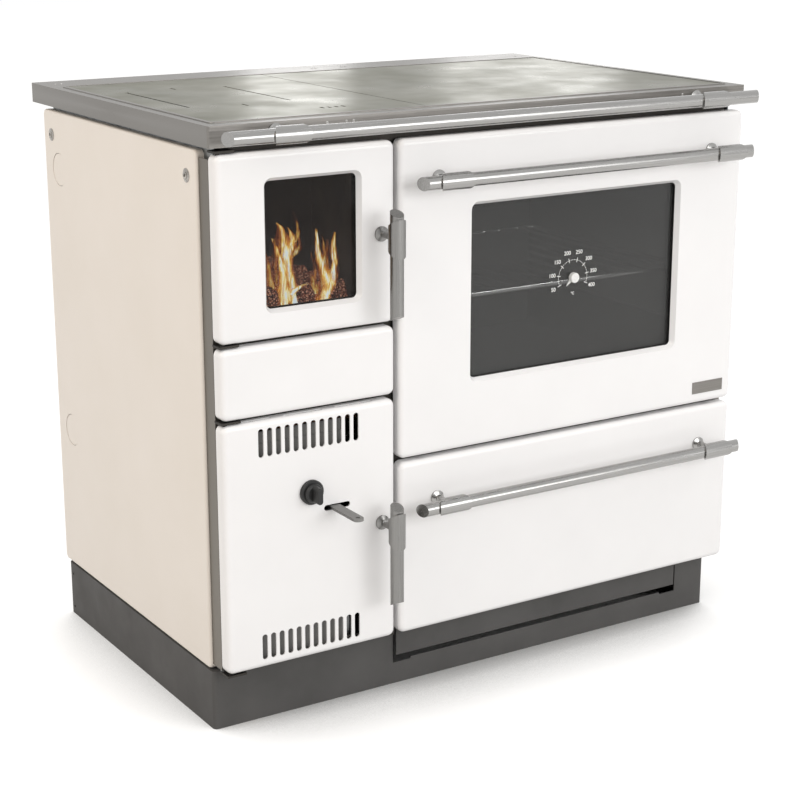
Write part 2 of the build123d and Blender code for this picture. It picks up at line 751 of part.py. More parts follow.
plate_bottom = ledge_top + slide_clearance
hob_slot_x = firebox_window_x - window_bevel
left_plate = (hob_left + moving_gap, hob_seam_x - hob_seam / 2)
right_plate = (hob_seam_x + hob_seam / 2, hob_right - moving_gap)
with BuildPart() as hob_plate_left:
    with BuildSketch(Plane.XY.offset(plate_bottom)):
        with Locations((sum(left_plate) / 2, hob_y)):
            Rectangle(left_plate[1] - left_plate[0], hob_depth - 2 * moving_gap)
        for side in (-1, 1):
            with Locations((hob_slot_x + side * hob_slot_spacing / 2, hob_slot_y)):
                SlotOverall(hob_slot_length, hob_slot_width, rotation=90, mode=Mode.SUBTRACT)
            with Locations((hob_slot_x + side * hob_slot_spacing / 2, hob_slot_y + hob_slot_length / 2)):
                Circle(hob_bore_radius, mode=Mode.SUBTRACT)
            with Locations((hob_slot_x, hob_slot_y + side * hob_slot_length * 0.56)):
                SlotOverall(hob_tick_length, hob_slot_width, rotation=90, mode=Mode.SUBTRACT)
        with Locations((hob_slot_x + hob_slot_spacing / 2 + hob_dash_pitch, hob_dash_y)):
            with GridLocations(hob_dash_pitch, 0, hob_dash_count, 1):
                SlotOverall(hob_dash_size[1], hob_dash_size[0], rotation=90, mode=Mode.SUBTRACT)
    extrude(amount=hob_plate_thickness)
hob_plate_left.part.label = "hob_plate_left"
export_step(hob_plate_left.part, "parts/hob_plate_left.step")

with BuildPart() as hob_plate_right:
    with BuildSketch(Plane.XY.offset(plate_bottom)):
        with Locations((sum(right_plate) / 2, hob_y)):
            Rectangle(right_plate[1] - right_plate[0], hob_depth - 2 * moving_gap)
    extrude(amount=hob_plate_thickness)
hob_plate_right.part.label = "hob_plate_right"
export_step(hob_plate_right.part, "parts/hob_plate_right.step")

# ================================================================ rails
def rail_bar(x_span: tuple, y: float, z: float) -> None:
    """Adds a long rail bar along X to the active block."""
    middle = Vector(sum(x_span) / 2, y, z)
    slanted_bar(middle, Vector(1, 0, 0), x_span[1] - x_span[0], bar_radius, bar_end_angle)


def rail_brackets(x_places: tuple, y: float, z: float, face: float) -> None:
    """Adds the two brackets of a rail, each a sleeve on a turned post, to the active block."""
    for x in x_places:
        post(x, z, face, y)
        slanted_bar(Vector(x, y, z), Vector(1, 0, 0), sleeve_length, sleeve_radius, -sleeve_end_angle)
    with BuildSketch(Plane.YZ.offset(x_places[0] - sleeve_length)) as bore:
        with Locations((y, z)):
            Circle(bar_radius + running_clearance)
    extrude(bore.sketch, amount=x_places[1] - x_places[0] + 2 * sleeve_length, mode=Mode.SUBTRACT)


front_bar_y = front_face - standoff
worktop_bar = (-top_width / 2 + worktop_rail_insets[0], top_width / 2 - worktop_rail_insets[1])
worktop_posts = (-top_width / 2 + worktop_rail_post_inset, top_width / 2 - worktop_rail_post_inset)
worktop_rail_z = fascia_bottom + rail_height_in_fascia
front_bar = (right_column_start + front_rail_insets[0], fronts_right - front_rail_insets[1])
front_posts = (right_column_start + front_rail_post_inset, fronts_right - front_rail_post_inset)
oven_rail_z = fronts_top - oven_rail_drop
drawer_rail_z = drawer_top - drawer_rail_drop
rails = {
    "worktop_rail": (worktop_bar, worktop_posts, worktop_front, worktop_rail_z),
    "oven_rail": (front_bar, front_posts, front_face, oven_rail_z),
    "drawer_rail": (front_bar, front_posts, front_face, drawer_rail_z),
}
for name, (x_span, x_places, face, z) in rails.items():
    with BuildPart() as bar:
        rail_bar(x_span, face - standoff, z)
    bar.part.label = f"{name}_bar"
    export_step(bar.part, f"parts/{name}_bar.step")
    with BuildPart() as brackets:
        rail_brackets(x_places, face - standoff, z, face)
    brackets.part.label = f"{name}_brackets"
    export_step(brackets.part, f"parts/{name}_brackets.step")

# ================================================================ fire column
fire_left = inside_left + brick_thickness
partition_left = partition_x - frame_sheet / 2
partition_right = partition_x + frame_sheet / 2
fire_right = partition_left - brick_thickness
fire_x = (fire_left + fire_right) / 2
fire_front = carcass_front + firebox_front_setback
fire_back = fire_front + firebox_depth
brick_top = fronts_top - firebox_top_gap / 2
hearth_front = carcass_front + mullion_depth
hearth_height = ash_door_top - hearth_drop
grate_y = (fire_front + fire_back) / 2 + grate_shift
with BuildPart() as hearth_plate:
    block(
        (inside_left, partition_left),
        (hearth_front, carcass_back - frame_sheet),
        (hearth_height - hearth_thickness, hearth_height),
    )
    block(
        (fire_x - hearth_opening_width / 2, fire_x + hearth_opening_width / 2),
        (grate_y - hearth_opening_depth / 2, grate_y + hearth_opening_depth / 2),
        (hearth_height - hearth_thickness, hearth_height),
        Mode.SUBTRACT,
    )
hearth_plate.part.label = "hearth_plate"
export_step(hearth_plate.part, "parts/hearth_plate.step")

brick_pitch = (fire_back - fire_front + brick_joint) / bricks_per_side
side_bricks = {"fire_brick_left": (inside_left, fire_left), "fire_brick_right": (fire_right, partition_left)}
for name, span in side_bricks.items():
    with BuildPart() as bricks:
        for index in range(bricks_per_side):
            start = fire_front + index * brick_pitch
            block(span, (start, start + brick_pitch - brick_joint), (hearth_height, brick_top))
    bricks.part.label = name
    export_step(bricks.part, f"parts/{name}.step")

with BuildPart() as fire_brick_back:
    back_span = (fire_back + brick_joint, fire_back + brick_joint + brick_thickness)
    block((inside_left, fire_x - brick_joint / 2), back_span, (hearth_height, brick_top))
    block((fire_x + brick_joint / 2, partition_left), back_span, (hearth_height, brick_top))
fire_brick_back.part.label = "fire_brick_back"
export_step(fire_brick_back.part, "parts/fire_brick_back.step")

# The grate slides on two skids, and the lever under it comes out through the ash door.
grate_width = hearth_opening_width + 2 * grate_overlap
grate_bottom = hearth_height + slide_clearance + grate_foot
bar_pitch = (grate_width - grate_bar_thickness) / (grate_bar_count - 1)
with BuildPart() as fire_grate:
    with BuildSketch(Plane.XY.offset(grate_bottom)):
        with Locations((fire_x, grate_y)):
            Rectangle(grate_width, grate_length)
            Rectangle(
                grate_width - 2 * grate_bar_thickness,
                grate_length - 2 * grate_bar_thickness,
                mode=Mode.SUBTRACT,
            )
            with GridLocations(bar_pitch, 0, grate_bar_count - 2, 1):
                Rectangle(grate_bar_thickness, grate_length)
            Rectangle(grate_width, grate_bar_thickness)
    extrude(amount=grate_depth)
    for side in (-1, 1):
        outer = fire_x + side * grate_width / 2
        inner = outer - side * (grate_overlap - grate_side_clearance)
        block(
            (min(outer, inner), max(outer, inner)),
            (grate_y - grate_length / 2, grate_y + grate_length / 2),
            (grate_bottom - grate_foot, grate_bottom),
        )
fire_grate.part.label = "fire_grate"
export_step(fire_grate.part, "parts/fire_grate.step")

lever_x = left_column_x + lever_x_shift
lever_top = ash_door_top - lever_drop + lever_thickness / 2
lever_span = (lever_x - lever_width / 2, lever_x + lever_width / 2)
lever_tip = front_face - lever_reach
upright_y = grate_y - hearth_opening_depth / 2 + shaker_travel + lever_upright_margin
with BuildPart() as shaker_lever:
    with BuildSketch(Plane.XY.offset(lever_top - lever_thickness)):
        with Locations((lever_x, (lever_tip + upright_y) / 2)):
            Rectangle(lever_width, upright_y - lever_tip)
        fillet(vertices().group_by(Axis.Y)[0], lever_width / 2 - 0.1)
    extrude(amount=lever_thickness)
    block(lever_span, (upright_y - lever_thickness, upright_y), (lever_top - lever_thickness, grate_bottom))
    with BuildSketch(Plane.XY.offset(lever_top)):
        with Locations((lever_x, lever_tip + lever_width / 2)):
            Circle(lever_hole_radius)
    extrude(amount=-lever_thickness, mode=Mode.SUBTRACT)
shaker_lever.part.label = "shaker_lever"
export_step(shaker_lever.part, "parts/shaker_lever.step")

pan_left = fire_x - ash_pan_width / 2
pan_front = carcass_front + ash_pan_setback
pan_floor = floor_top + slide_clearance
with BuildPart() as ash_pan:
    block(
        (pan_left, pan_left + ash_pan_width),
        (pan_front, pan_front + ash_pan_depth),
        (pan_floor, pan_floor + ash_pan_height),
    )
    block(
        (pan_left + ash_pan_sheet, pan_left + ash_pan_width - ash_pan_sheet),
        (pan_front + ash_pan_sheet, pan_front + ash_pan_depth - ash_pan_sheet),
        (pan_floor + ash_pan_sheet, pan_floor + ash_pan_height),
        Mode.SUBTRACT,
    )
    bail_z = pan_floor + ash_pan_height * 0.7
    with BuildLine():
        bail = FilletPolyline(
            (fire_x - bail_width / 2, pan_front + ash_pan_sheet / 2, bail_z),
            (fire_x - bail_width / 2, pan_front - bail_reach, bail_z),
            (fire_x + bail_width / 2, pan_front - bail_reach, bail_z),
            (fire_x + bail_width / 2, pan_front + ash_pan_sheet / 2, bail_z),
            radius=bail_reach / 2,
        )
    with BuildSketch(Plane(origin=bail @ 0, z_dir=bail % 0)):
        Circle(bail_radius)
    sweep()
ash_pan.part.label = "ash_pan"
export_step(ash_pan.part, "parts/ash_pan.step")

# ================================================================ left-hand doors
hinge_x = fronts_left + hinge_side_inset
hinge_y = front_face + hinge_front_inset
pan_inner_face = front_face + front_wall
handle_x = left_column_end - handle_x_inset
firebox_handle_z = firebox_window_z
ash_handle_z = (ash_door_top + fronts_bottom) / 2
shield_front = front_face + shield_depth
shield_back = shield_front + frame_sheet
shield_left = fronts_left + shield_left_inset
shield_right = left_column_end - shield_right_inset
knob_z = ash_door_top - knob_drop


def hinge_sockets(z_span: tuple) -> None:
    """Adds the two sockets of a left-hand door, on feet against the pan, to the active block."""
    low, high = z_span
    for start in (low + hinge_socket_setback, high - hinge_socket_setback - hinge_block):
        span = (start, start + hinge_block)
        block((hinge_x - socket_half, hinge_x + socket_half), (hinge_y - socket_half, lining_front), span)
        foot = hinge_x + socket_foot
        block((foot, foot + hinge_block / 2), (pan_inner_face, lining_front), span)
        with BuildSketch(Plane.XY.offset(start)) as bore:
            with Locations((hinge_x, hinge_y)):
                Circle(hinge_pin_radius + running_clearance)
        extrude(bore.sketch, amount=hinge_block, mode=Mode.SUBTRACT)


def pin_holes(z_span: tuple) -> None:
    """Cuts the holes for the hinge pins through the ends of the left-hand door in the active block."""
    for start in (z_span[0], z_span[1] - 2 * front_wall):
        with BuildSketch(Plane.XY.offset(start)) as bore:
            with Locations((hinge_x, hinge_y)):
                Circle(hinge_pin_radius + running_clearance)
        extrude(bore.sketch, amount=2 * front_wall, mode=Mode.SUBTRACT)


def round_hole(x: float, z: float, radius: float, y_span: tuple) -> None:
    """Cuts a round hole along Y through the active block."""
    with BuildSketch(front_plane(y_span[1])) as bore:
        with Locations((x, z)):
            Circle(radius)
    extrude(bore.sketch, amount=y_span[1] - y_span[0], mode=Mode.SUBTRACT)


def round_boss(x: float, z: float, radius: float, y_span: tuple) -> None:
    """Adds a round boss along Y to the active block."""
    with BuildSketch(front_plane(y_span[1])) as boss:
        with Locations((x, z)):
            Circle(radius)
    extrude(boss.sketch, amount=y_span[1] - y_span[0])


lining_front = front_back - frame_sheet
firebox_z = (firebox_door_bottom, fronts_top)
ash_z = (fronts_bottom, ash_door_top)
with BuildPart() as firebox_door_panel:
    pressed_pan(left_span, firebox_z)
    dished_window(*firebox_window)
    pin_holes(firebox_z)
    round_hole(handle_x, firebox_handle_z, shaft_radius + running_clearance, (front_face - 1, lining_front))
firebox_door_panel.part.label = "firebox_door_panel"
export_step(firebox_door_panel.part, "parts/firebox_door_panel.step")

with BuildPart() as firebox_door_glass:
    window_glass(*firebox_window, (glass_front, glass_back))
firebox_door_glass.part.label = "firebox_door_glass"
export_step(firebox_door_glass.part, "parts/firebox_door_glass.step")

with BuildPart() as firebox_door_lining:
    door_lining(left_span, firebox_z, firebox_window)
    glass_clamp(*firebox_window)
    hinge_sockets(firebox_z)
    round_boss(handle_x, firebox_handle_z, bush_radius, (pan_inner_face, front_back))
    round_hole(handle_x, firebox_handle_z, shaft_radius + running_clearance, (pan_inner_face, front_back))
firebox_door_lining.part.label = "firebox_door_lining"
export_step(firebox_door_lining.part, "parts/firebox_door_lining.step")

vent_x = left_column_x + vent_shift
lever_slot_z = lever_top - lever_thickness / 2 - lever_slot_drop
with BuildPart() as ash_door_panel:
    pressed_pan(left_span, ash_z)
    with BuildSketch(front_plane(pan_inner_face)):
        with Locations((vent_x, ash_door_top - upper_vent_drop)):
            with GridLocations(vent_pitch, 0, vent_count, 1):
                SlotOverall(upper_vent_height, vent_width, rotation=90)
        with Locations((vent_x, fronts_bottom + lower_vent_rise)):
            with GridLocations(vent_pitch, 0, vent_count, 1):
                SlotOverall(lower_vent_height, vent_width, rotation=90)
        with Locations((lever_x + (lever_slot_right - lever_slot_left) / 2, lever_slot_z)):
            SlotOverall(lever_width + lever_slot_left + lever_slot_right, lever_slot_height)
    extrude(amount=front_wall, mode=Mode.SUBTRACT)
    with BuildSketch(Plane.XY.offset(ash_door_top)):
        with Locations((left_column_x - top_slot_shift, front_face + top_slot_setback)):
            with GridLocations(top_slot_pitch, 0, top_slot_count, 1):
                SlotOverall(top_slot_length, top_slot_width)
    extrude(amount=-front_wall, mode=Mode.SUBTRACT)
    pin_holes(ash_z)
    round_hole(handle_x, ash_handle_z, shaft_radius + running_clearance, (front_face - 1, pan_inner_face + 1))
    round_hole(knob_x, knob_z, spindle_radius + running_clearance, (front_face - 1, pan_inner_face + 1))
ash_door_panel.part.label = "ash_door_panel"
export_step(ash_door_panel.part, "parts/ash_door_panel.step")

flap_x = vent_x - flap_shift
flap_span = (flap_x - flap_width / 2, flap_x + flap_width / 2)
flap_y = shield_back + flap_pin_radius + flap_offset
flap_axis_z = fronts_bottom + lower_vent_rise + lower_vent_height / 2 + flap_axis_rise
with BuildPart() as ash_door_shield:
    block(
        (shield_left, shield_right),
        (shield_front, shield_back),
        (fronts_bottom + shield_margin, ash_door_top - shield_lap_drop),
    )
    block(
        (shield_left, shield_right),
        (shield_back, shield_back + frame_sheet),
        (ash_door_top - shield_lap_drop - shield_lap, ash_door_top - shield_top_margin),
    )
    block(
        (lever_span[0] - 2 * lever_slot_left, shield_right + 1),
        (shield_front, shield_back),
        (lever_top - lever_thickness - lever_slot_left, lever_top + lever_slot_left),
        Mode.SUBTRACT,
    )
    block(
        (flap_span[0] + flap_lap, flap_span[1] - flap_lap),
        (shield_front, shield_back),
        (flap_axis_z - flap_height + flap_lap, flap_axis_z - flap_lap),
        Mode.SUBTRACT,
    )
    spacer_top = ash_door_top - upper_vent_drop - spacer_rise - upper_vent_height / 2
    for x in (shield_left + spacer_inset, shield_right - spacer_inset):
        for z in (flap_axis_z + spacer_rise, spacer_top):
            round_boss(x, z, spacer_radius, (pan_inner_face, shield_back))
    round_hole(knob_x, knob_z, spindle_radius + running_clearance, (shield_front, shield_back))
    for x in (flap_span[0] - flap_lug - flap_lug_gap, flap_span[1] + flap_lug_gap):
        block(
            (x, x + flap_lug),
            (shield_back, flap_y + flap_pin_radius + frame_sheet),
            (flap_axis_z - flap_lap, flap_axis_z + flap_lap),
        )
    with BuildSketch(Plane.YZ.offset(flap_span[0] - flap_lug - flap_lug_gap)):
        with Locations((flap_y, flap_axis_z)):
            Circle(flap_pin_radius + running_clearance)
    extrude(amount=flap_width + 2 * flap_lug + 2 * flap_lug_gap, mode=Mode.SUBTRACT)
    hinge_sockets(ash_z)
    round_boss(handle_x, ash_handle_z, bush_radius, (pan_inner_face, front_back))
    round_hole(handle_x, ash_handle_z, shaft_radius + running_clearance, (pan_inner_face, front_back))
ash_door_shield.part.label = "ash_door_shield"
export_step(ash_door_shield.part, "parts/ash_door_shield.step")

# The damper flap hangs on its own pin behind the shield and swings back as the knob is turned.
with BuildPart() as air_flap:
    block(
        flap_span,
        (flap_y - flap_thickness / 2, flap_y + flap_thickness / 2),
        (flap_axis_z - flap_height, flap_axis_z),
    )
    with BuildSketch(Plane.YZ.offset(flap_span[0] - flap_lug - flap_lug_gap)):
        with Locations((flap_y, flap_axis_z)):
            Circle(flap_pin_radius)
    extrude(amount=flap_width + 2 * flap_lug + 2 * flap_lug_gap)
air_flap.part.label = "air_flap"
export_step(air_flap.part, "parts/air_flap.step")

knob_face = front_face - handle_turn_clearance
with BuildPart() as air_knob:
    round_boss(knob_x, knob_z, knob_radius, (knob_face - knob_skirt, knob_face))
    chamfer(faces().sort_by(Axis.Y)[0].edges(), knob_skirt / 4)
    with BuildSketch(front_plane(knob_face)):
        with Locations((knob_x, knob_z + knob_radius)):
            with BuildLine():
                Polyline(
                    (-knob_notch_width / 2, 1),
                    (knob_notch_width / 2, 1),
                    (0, -knob_notch_depth),
                    close=True,
                )
            make_face()
    extrude(amount=knob_skirt, mode=Mode.SUBTRACT)
    round_boss(knob_x, knob_z, knob_hub_radius, (knob_face - knob_skirt - knob_hub, knob_face - knob_skirt))
    fillet(faces().sort_by(Axis.Y)[0].edges(), knob_hub * 0.6)
    with BuildSketch(front_plane(knob_face - knob_skirt)):
        with Locations((knob_x, knob_z)):
            SlotOverall(knob_grip_length, knob_grip_width, rotation=90)
    extrude(amount=knob_depth - knob_skirt, taper=2)
    fillet(faces().sort_by(Axis.Y)[0].edges(), knob_grip_width / 6)
    round_boss(knob_x, knob_z, spindle_radius, (knob_face, lining_front))
air_knob.part.label = "air_knob"
export_step(air_knob.part, "parts/air_knob.step")

# Each door is shut by a turning handle, a shaft through the door and a cam behind it.
handles = {"firebox_handle": firebox_handle_z, "ash_handle": ash_handle_z}
for name, z in handles.items():
    bar_z = z + (handle_above - handle_below) / 2
    with BuildPart() as bar:
        handle_length = handle_above + handle_below
        middle = Vector(handle_x, front_bar_y, bar_z)
        slanted_bar(middle, Vector(0, 0, 1), handle_length, bar_radius, bar_end_angle)
    bar.part.label = f"{name}_bar"
    export_step(bar.part, f"parts/{name}_bar.step")
    with BuildPart() as mount:
        post(handle_x, z, front_face - handle_turn_clearance, front_bar_y)
        middle = Vector(handle_x, front_bar_y, z)
        slanted_bar(middle, Vector(0, 0, 1), sleeve_length, sleeve_radius, -sleeve_end_angle)
        with BuildSketch(Plane.XY.offset(z - handle_below)):
            with Locations((handle_x, front_bar_y)):
                Circle(bar_radius + running_clearance)
        extrude(amount=2 * handle_below, mode=Mode.SUBTRACT)
        shaft_back = front_back + slide_clearance
        round_boss(handle_x, z, shaft_radius, (front_face - handle_turn_clearance, shaft_back))
        with BuildSketch(front_plane(front_back + slide_clearance + cam_thickness)):
            with BuildLine():
                Polyline(
                    (handle_x - bush_radius, z - bush_radius),
                    (handle_x + cam_reach, z - bush_radius / 2),
                    (handle_x + cam_reach, z + bush_radius / 2),
                    (handle_x - bush_radius, z + bush_radius),
                    close=True,
                )
            make_face()
            fillet(vertices(), bush_radius / 4)
        extrude(amount=cam_thickness)
    mount.part.label = f"{name}_mount"
    export_step(mount.part, f"parts/{name}_mount.step")

# The hinge plates hold a pin each, over and under the doors.
hinge_gap = (front_gap - hinge_plate) / 2
plate_bottoms = {
    fronts_top + hinge_gap: -1,
    firebox_door_bottom - hinge_gap - hinge_plate: 1,
    ash_door_top + hinge_gap: -1,
    fronts_bottom - hinge_gap - hinge_plate: 1,
}
with BuildPart() as left_hinge_brackets:
    for bottom, way in plate_bottoms.items():
        block(
            (fronts_left + hinge_plate_inset, strip_inner + hinge_plate_tail),
            (hinge_y - 2 * hinge_pin_radius, carcass_front),
            (bottom, bottom + hinge_plate),
        )
        with BuildSketch(Plane.XY.offset(bottom + hinge_plate / 2)):
            with Locations((hinge_x, hinge_y)):
                Circle(hinge_pin_radius)
        extrude(amount=way * (hinge_pin_length + hinge_plate / 2))
    lowest = fronts_bottom - hinge_gap - hinge_plate
    foot = (lowest, lowest + hinge_plate)
    block((shell_left - hinge_plate, shell_left), (carcass_front, plinth_front), foot)
    block(
        (shell_left - hinge_plate, shell_left),
        (carcass_inner_front, plinth_front),
        (lowest, fronts_bottom + hinge_plate_tail),
    )
left_hinge_brackets.part.label = "left_hinge_brackets"
export_step(left_hinge_brackets.part, "parts/left_hinge_brackets.step")

# ================================================================ oven
oven_left = right_column_start + oven_side_margin
oven_right = fronts_right - oven_side_margin
oven_floor = oven_door_bottom + oven_floor_rise
oven_ceiling = fronts_top - oven_top_drop
liner_front = carcass_front + casing_sheet
with BuildPart() as oven_liner:
    block(
        (oven_left - casing_sheet, oven_right + casing_sheet),
        (liner_front, liner_front + oven_depth + casing_sheet),
        (oven_floor - casing_sheet, oven_ceiling + casing_sheet),
    )
    flange = (oven_floor - oven_flange, header_bottom)
    block((mullion_right, -strip_inner), (carcass_front, liner_front), flange)
    block(
        (oven_left, oven_right),
        (carcass_front, liner_front + oven_depth),
        (oven_floor, oven_ceiling),
        Mode.SUBTRACT,
    )
    inside = edges().filter_by(Axis.Y).filter_by_position(Axis.X, oven_left, oven_right)
    inside = inside.filter_by_position(Axis.Z, oven_floor, oven_ceiling)
    fillet(inside.filter_by(lambda edge: edge.length > oven_depth), oven_corner)
oven_liner.part.label = "oven_liner"
export_step(oven_liner.part, "parts/oven_liner.step")

ledge_heights = [oven_ceiling - rack_drop - index * rack_level_pitch for index in range(rack_level_count)]
rack_front = carcass_front + rack_setback
rack_back = rack_front + rack_depth
with BuildPart() as rack_rails:
    for height in ledge_heights:
        for side in (-1, 1):
            wall = right_column_x + side * (oven_right - oven_left) / 2
            ledge = wall - side * rack_ledge
            web = wall - side * casing_sheet
            depth = (rack_front, rack_back)
            block((min(wall, ledge), max(wall, ledge)), depth, (height - frame_sheet, height))
            block((min(wall, web), max(wall, web)), depth, (height - rack_ledge, height))
rack_rails.part.label = "rack_rails"
export_step(rack_rails.part, "parts/rack_rails.step")

rack_z = ledge_heights[0] + slide_clearance + rack_frame_radius
rack_half = (oven_right - oven_left) / 2 - rack_side_clearance - rack_frame_radius
rack_ends = (rack_front + rack_frame_radius, rack_back - rack_frame_radius)
with BuildPart() as oven_rack:
    with BuildSketch(Plane.XY.offset(rack_z), mode=Mode.PRIVATE) as rack_outline:
        with Locations((right_column_x, sum(rack_ends) / 2)):
            RectangleRounded(2 * rack_half, rack_ends[1] - rack_ends[0], rack_corner)
    frame_wire = rack_outline.sketch.faces()[0].outer_wire()
    with BuildSketch(Plane(origin=frame_wire @ 0, z_dir=frame_wire % 0)):
        Circle(rack_frame_radius)
    sweep(path=frame_wire)
    with BuildSketch(front_plane(rack_ends[1])):
        with Locations((right_column_x, rack_z)):
            with GridLocations(2 * rack_half / (rack_wire_count + 1), 0, rack_wire_count, 1):
                Circle(rack_wire_radius)
    extrude(amount=rack_ends[1] - rack_ends[0])
oven_rack.part.label = "oven_rack"
export_step(oven_rack.part, "parts/oven_rack.step")

with BuildPart() as front_rail_right:
    block(
        (mullion_right, -strip_inner),
        (carcass_front, carcass_inner_front),
        (drawer_top - drawer_rail_lap, oven_floor - oven_flange),
    )
front_rail_right.part.label = "front_rail_right"
export_step(front_rail_right.part, "parts/front_rail_right.step")

# ================================================================ oven door
oven_hinge_z = oven_door_bottom + oven_hinge_rise
oven_z = (oven_door_bottom, fronts_top)
oven_hinge_places = (right_span[0] + oven_hinge_margin, right_span[1] - oven_hinge_margin)
arm_slot_width = oven_hinge_width + 2 * moving_gap


def arm_slots() -> None:
    """Cuts the two openings for the hinge arms through the foot of the oven door in the active block."""
    for x in oven_hinge_places:
        block(
            (x - arm_slot_width / 2, x + arm_slot_width / 2),
            (hinge_y - oven_hinge_arm / 2 - moving_gap, front_back + moving_gap),
            (oven_door_bottom - moving_gap, oven_hinge_z + oven_hinge_arm / 2 + moving_gap),
            Mode.SUBTRACT,
        )


with BuildPart() as oven_door_panel:
    pressed_pan(right_span, oven_z)
    dished_window(*oven_window)
    arm_slots()
oven_door_panel.part.label = "oven_door_panel"
export_step(oven_door_panel.part, "parts/oven_door_panel.step")

oven_glass_front = glass_front + oven_gasket_depth
oven_glass_back = oven_glass_front + glass_thickness
inner_glass_back = front_back + inner_glass_thickness
window_opening = (oven_window_width - 2 * window_bevel, oven_window_height - 2 * window_bevel)
with BuildPart() as oven_window_gasket:
    with BuildSketch(front_plane(oven_glass_front)):
        with Locations((right_column_x, oven_window_z)):
            RectangleRounded(
                window_opening[0] + 2 * glass_overlap,
                window_opening[1] + 2 * glass_overlap,
                glass_corner,
            )
            RectangleRounded(*window_opening, window_corner_radius - window_bevel, mode=Mode.SUBTRACT)
    extrude(amount=oven_gasket_depth)
oven_window_gasket.part.label = "oven_window_gasket"
export_step(oven_window_gasket.part, "parts/oven_window_gasket.step")

with BuildPart() as oven_door_glass:
    window_glass(*oven_window, (oven_glass_front, oven_glass_back))
    round_hole(
        right_column_x,
        oven_window_z,
        dial_spindle_radius + running_clearance,
        (oven_glass_front, oven_glass_back),
    )
oven_door_glass.part.label = "oven_door_glass"
export_step(oven_door_glass.part, "parts/oven_door_glass.step")

with BuildPart() as oven_door_inner_glass:
    window_glass(*oven_window, (front_back, inner_glass_back))
oven_door_inner_glass.part.label = "oven_door_inner_glass"
export_step(oven_door_inner_glass.part, "parts/oven_door_inner_glass.step")

with BuildPart() as oven_door_lining:
    door_lining(right_span, oven_z, oven_window)
    arm_slots()
    for x in oven_hinge_places:
        for side in (-1, 1):
            near = x + side * arm_slot_width / 2
            far = near + side * oven_socket_width
            block(
                (min(near, far), max(near, far)),
                (hinge_y - socket_half, lining_front),
                (oven_hinge_z - socket_half, oven_hinge_z + socket_half),
            )
        with BuildSketch(Plane.YZ.offset(x - hinge_block)):
            with Locations((hinge_y, oven_hinge_z)):
                Circle(oven_pin_radius + running_clearance)
        extrude(amount=2 * hinge_block, mode=Mode.SUBTRACT)
    pane_half = (window_opening[0] / 2 + glass_overlap, window_opening[1] / 2 + glass_overlap)
    clip_back = inner_glass_back + frame_sheet
    for side in (-1, 1):
        edge = right_column_x + side * (pane_half[0] + slide_clearance)
        outer = edge + side * glass_clip
        lip = edge - side * glass_clip / 2
        across = (oven_window_z - glass_clip_length / 2, oven_window_z + glass_clip_length / 2)
        block((min(edge, outer), max(edge, outer)), (front_back - frame_sheet, clip_back), across)
        block((min(lip, outer), max(lip, outer)), (inner_glass_back, clip_back), across)
        edge = oven_window_z + side * (pane_half[1] + slide_clearance)
        outer = edge + side * glass_clip
        lip = edge - side * glass_clip / 2
        across = (right_column_x - glass_clip_length / 2, right_column_x + glass_clip_length / 2)
        block(across, (front_back - frame_sheet, clip_back), (min(edge, outer), max(edge, outer)))
        block(across, (inner_glass_back, clip_back), (min(lip, outer), max(lip, outer)))
oven_door_lining.part.label = "oven_door_lining"
export_step(oven_door_lining.part, "parts/oven_door_lining.step")

with BuildPart() as oven_hinge_brackets:
    for x in oven_hinge_places:
        with BuildSketch(Plane.YZ.offset(x - oven_hinge_width / 2)):
            with Locations((hinge_y, oven_hinge_z)):
                Circle(oven_hinge_arm / 2)
            with Locations(((hinge_y + carcass_front) / 2, oven_hinge_z)):
                Rectangle(carcass_front - hinge_y, oven_hinge_arm)
        extrude(amount=oven_hinge_width)
        with BuildSketch(Plane.YZ.offset(x - arm_slot_width / 2 - oven_socket_width)):
            with Locations((hinge_y, oven_hinge_z)):
                Circle(oven_pin_radius)
        extrude(amount=arm_slot_width + 2 * oven_socket_width)
        block(
            (x - oven_hinge_width / 2, x + oven_hinge_width / 2),
            (carcass_front - frame_sheet, carcass_front),
            (oven_hinge_z - oven_hinge_arm / 2, oven_hinge_z + oven_bracket_rise),
        )
oven_hinge_brackets.part.label = "oven_hinge_brackets"
export_step(oven_hinge_brackets.part, "parts/oven_hinge_brackets.step")

dial_face = oven_glass_front - slide_clearance
dial_centre = Vector(right_column_x, oven_window_z)
with BuildPart() as oven_pointer:
    round_boss(right_column_x, oven_window_z, dial_hub_radius, (dial_face - dial_hub_depth, dial_face))
    fillet(faces().sort_by(Axis.Y)[0].edges(), dial_hub_depth / 5)
    spindle = (dial_face, oven_glass_back + slide_clearance)
    round_boss(right_column_x, oven_window_z, dial_spindle_radius, spindle)
    with BuildSketch(front_plane(dial_face)):
        with BuildLine():
            Polyline(
                dial_centre + Vector(dial_hub_radius / 2, 0).rotate(Axis.Z, pointer_angle - 90),
                dial_centre + Vector(pointer_length, 0).rotate(Axis.Z, pointer_angle),
                dial_centre + Vector(dial_hub_radius / 2, 0).rotate(Axis.Z, pointer_angle + 90),
                close=True,
            )
        make_face()
    extrude(amount=pointer_thickness)
oven_pointer.part.label = "oven_pointer"
export_step(oven_pointer.part, "parts/oven_pointer.step")

badge_right = right_span[1] - badge_side_inset
badge_bottom = oven_door_bottom + badge_bottom_inset
with BuildPart() as badge_plate:
    block(
        (badge_right - badge_width, badge_right),
        (front_face - badge_thickness, front_face),
        (badge_bottom, badge_bottom + badge_height),
    )
badge_plate.part.label = "badge_plate"
export_step(badge_plate.part, "parts/badge_plate.step")

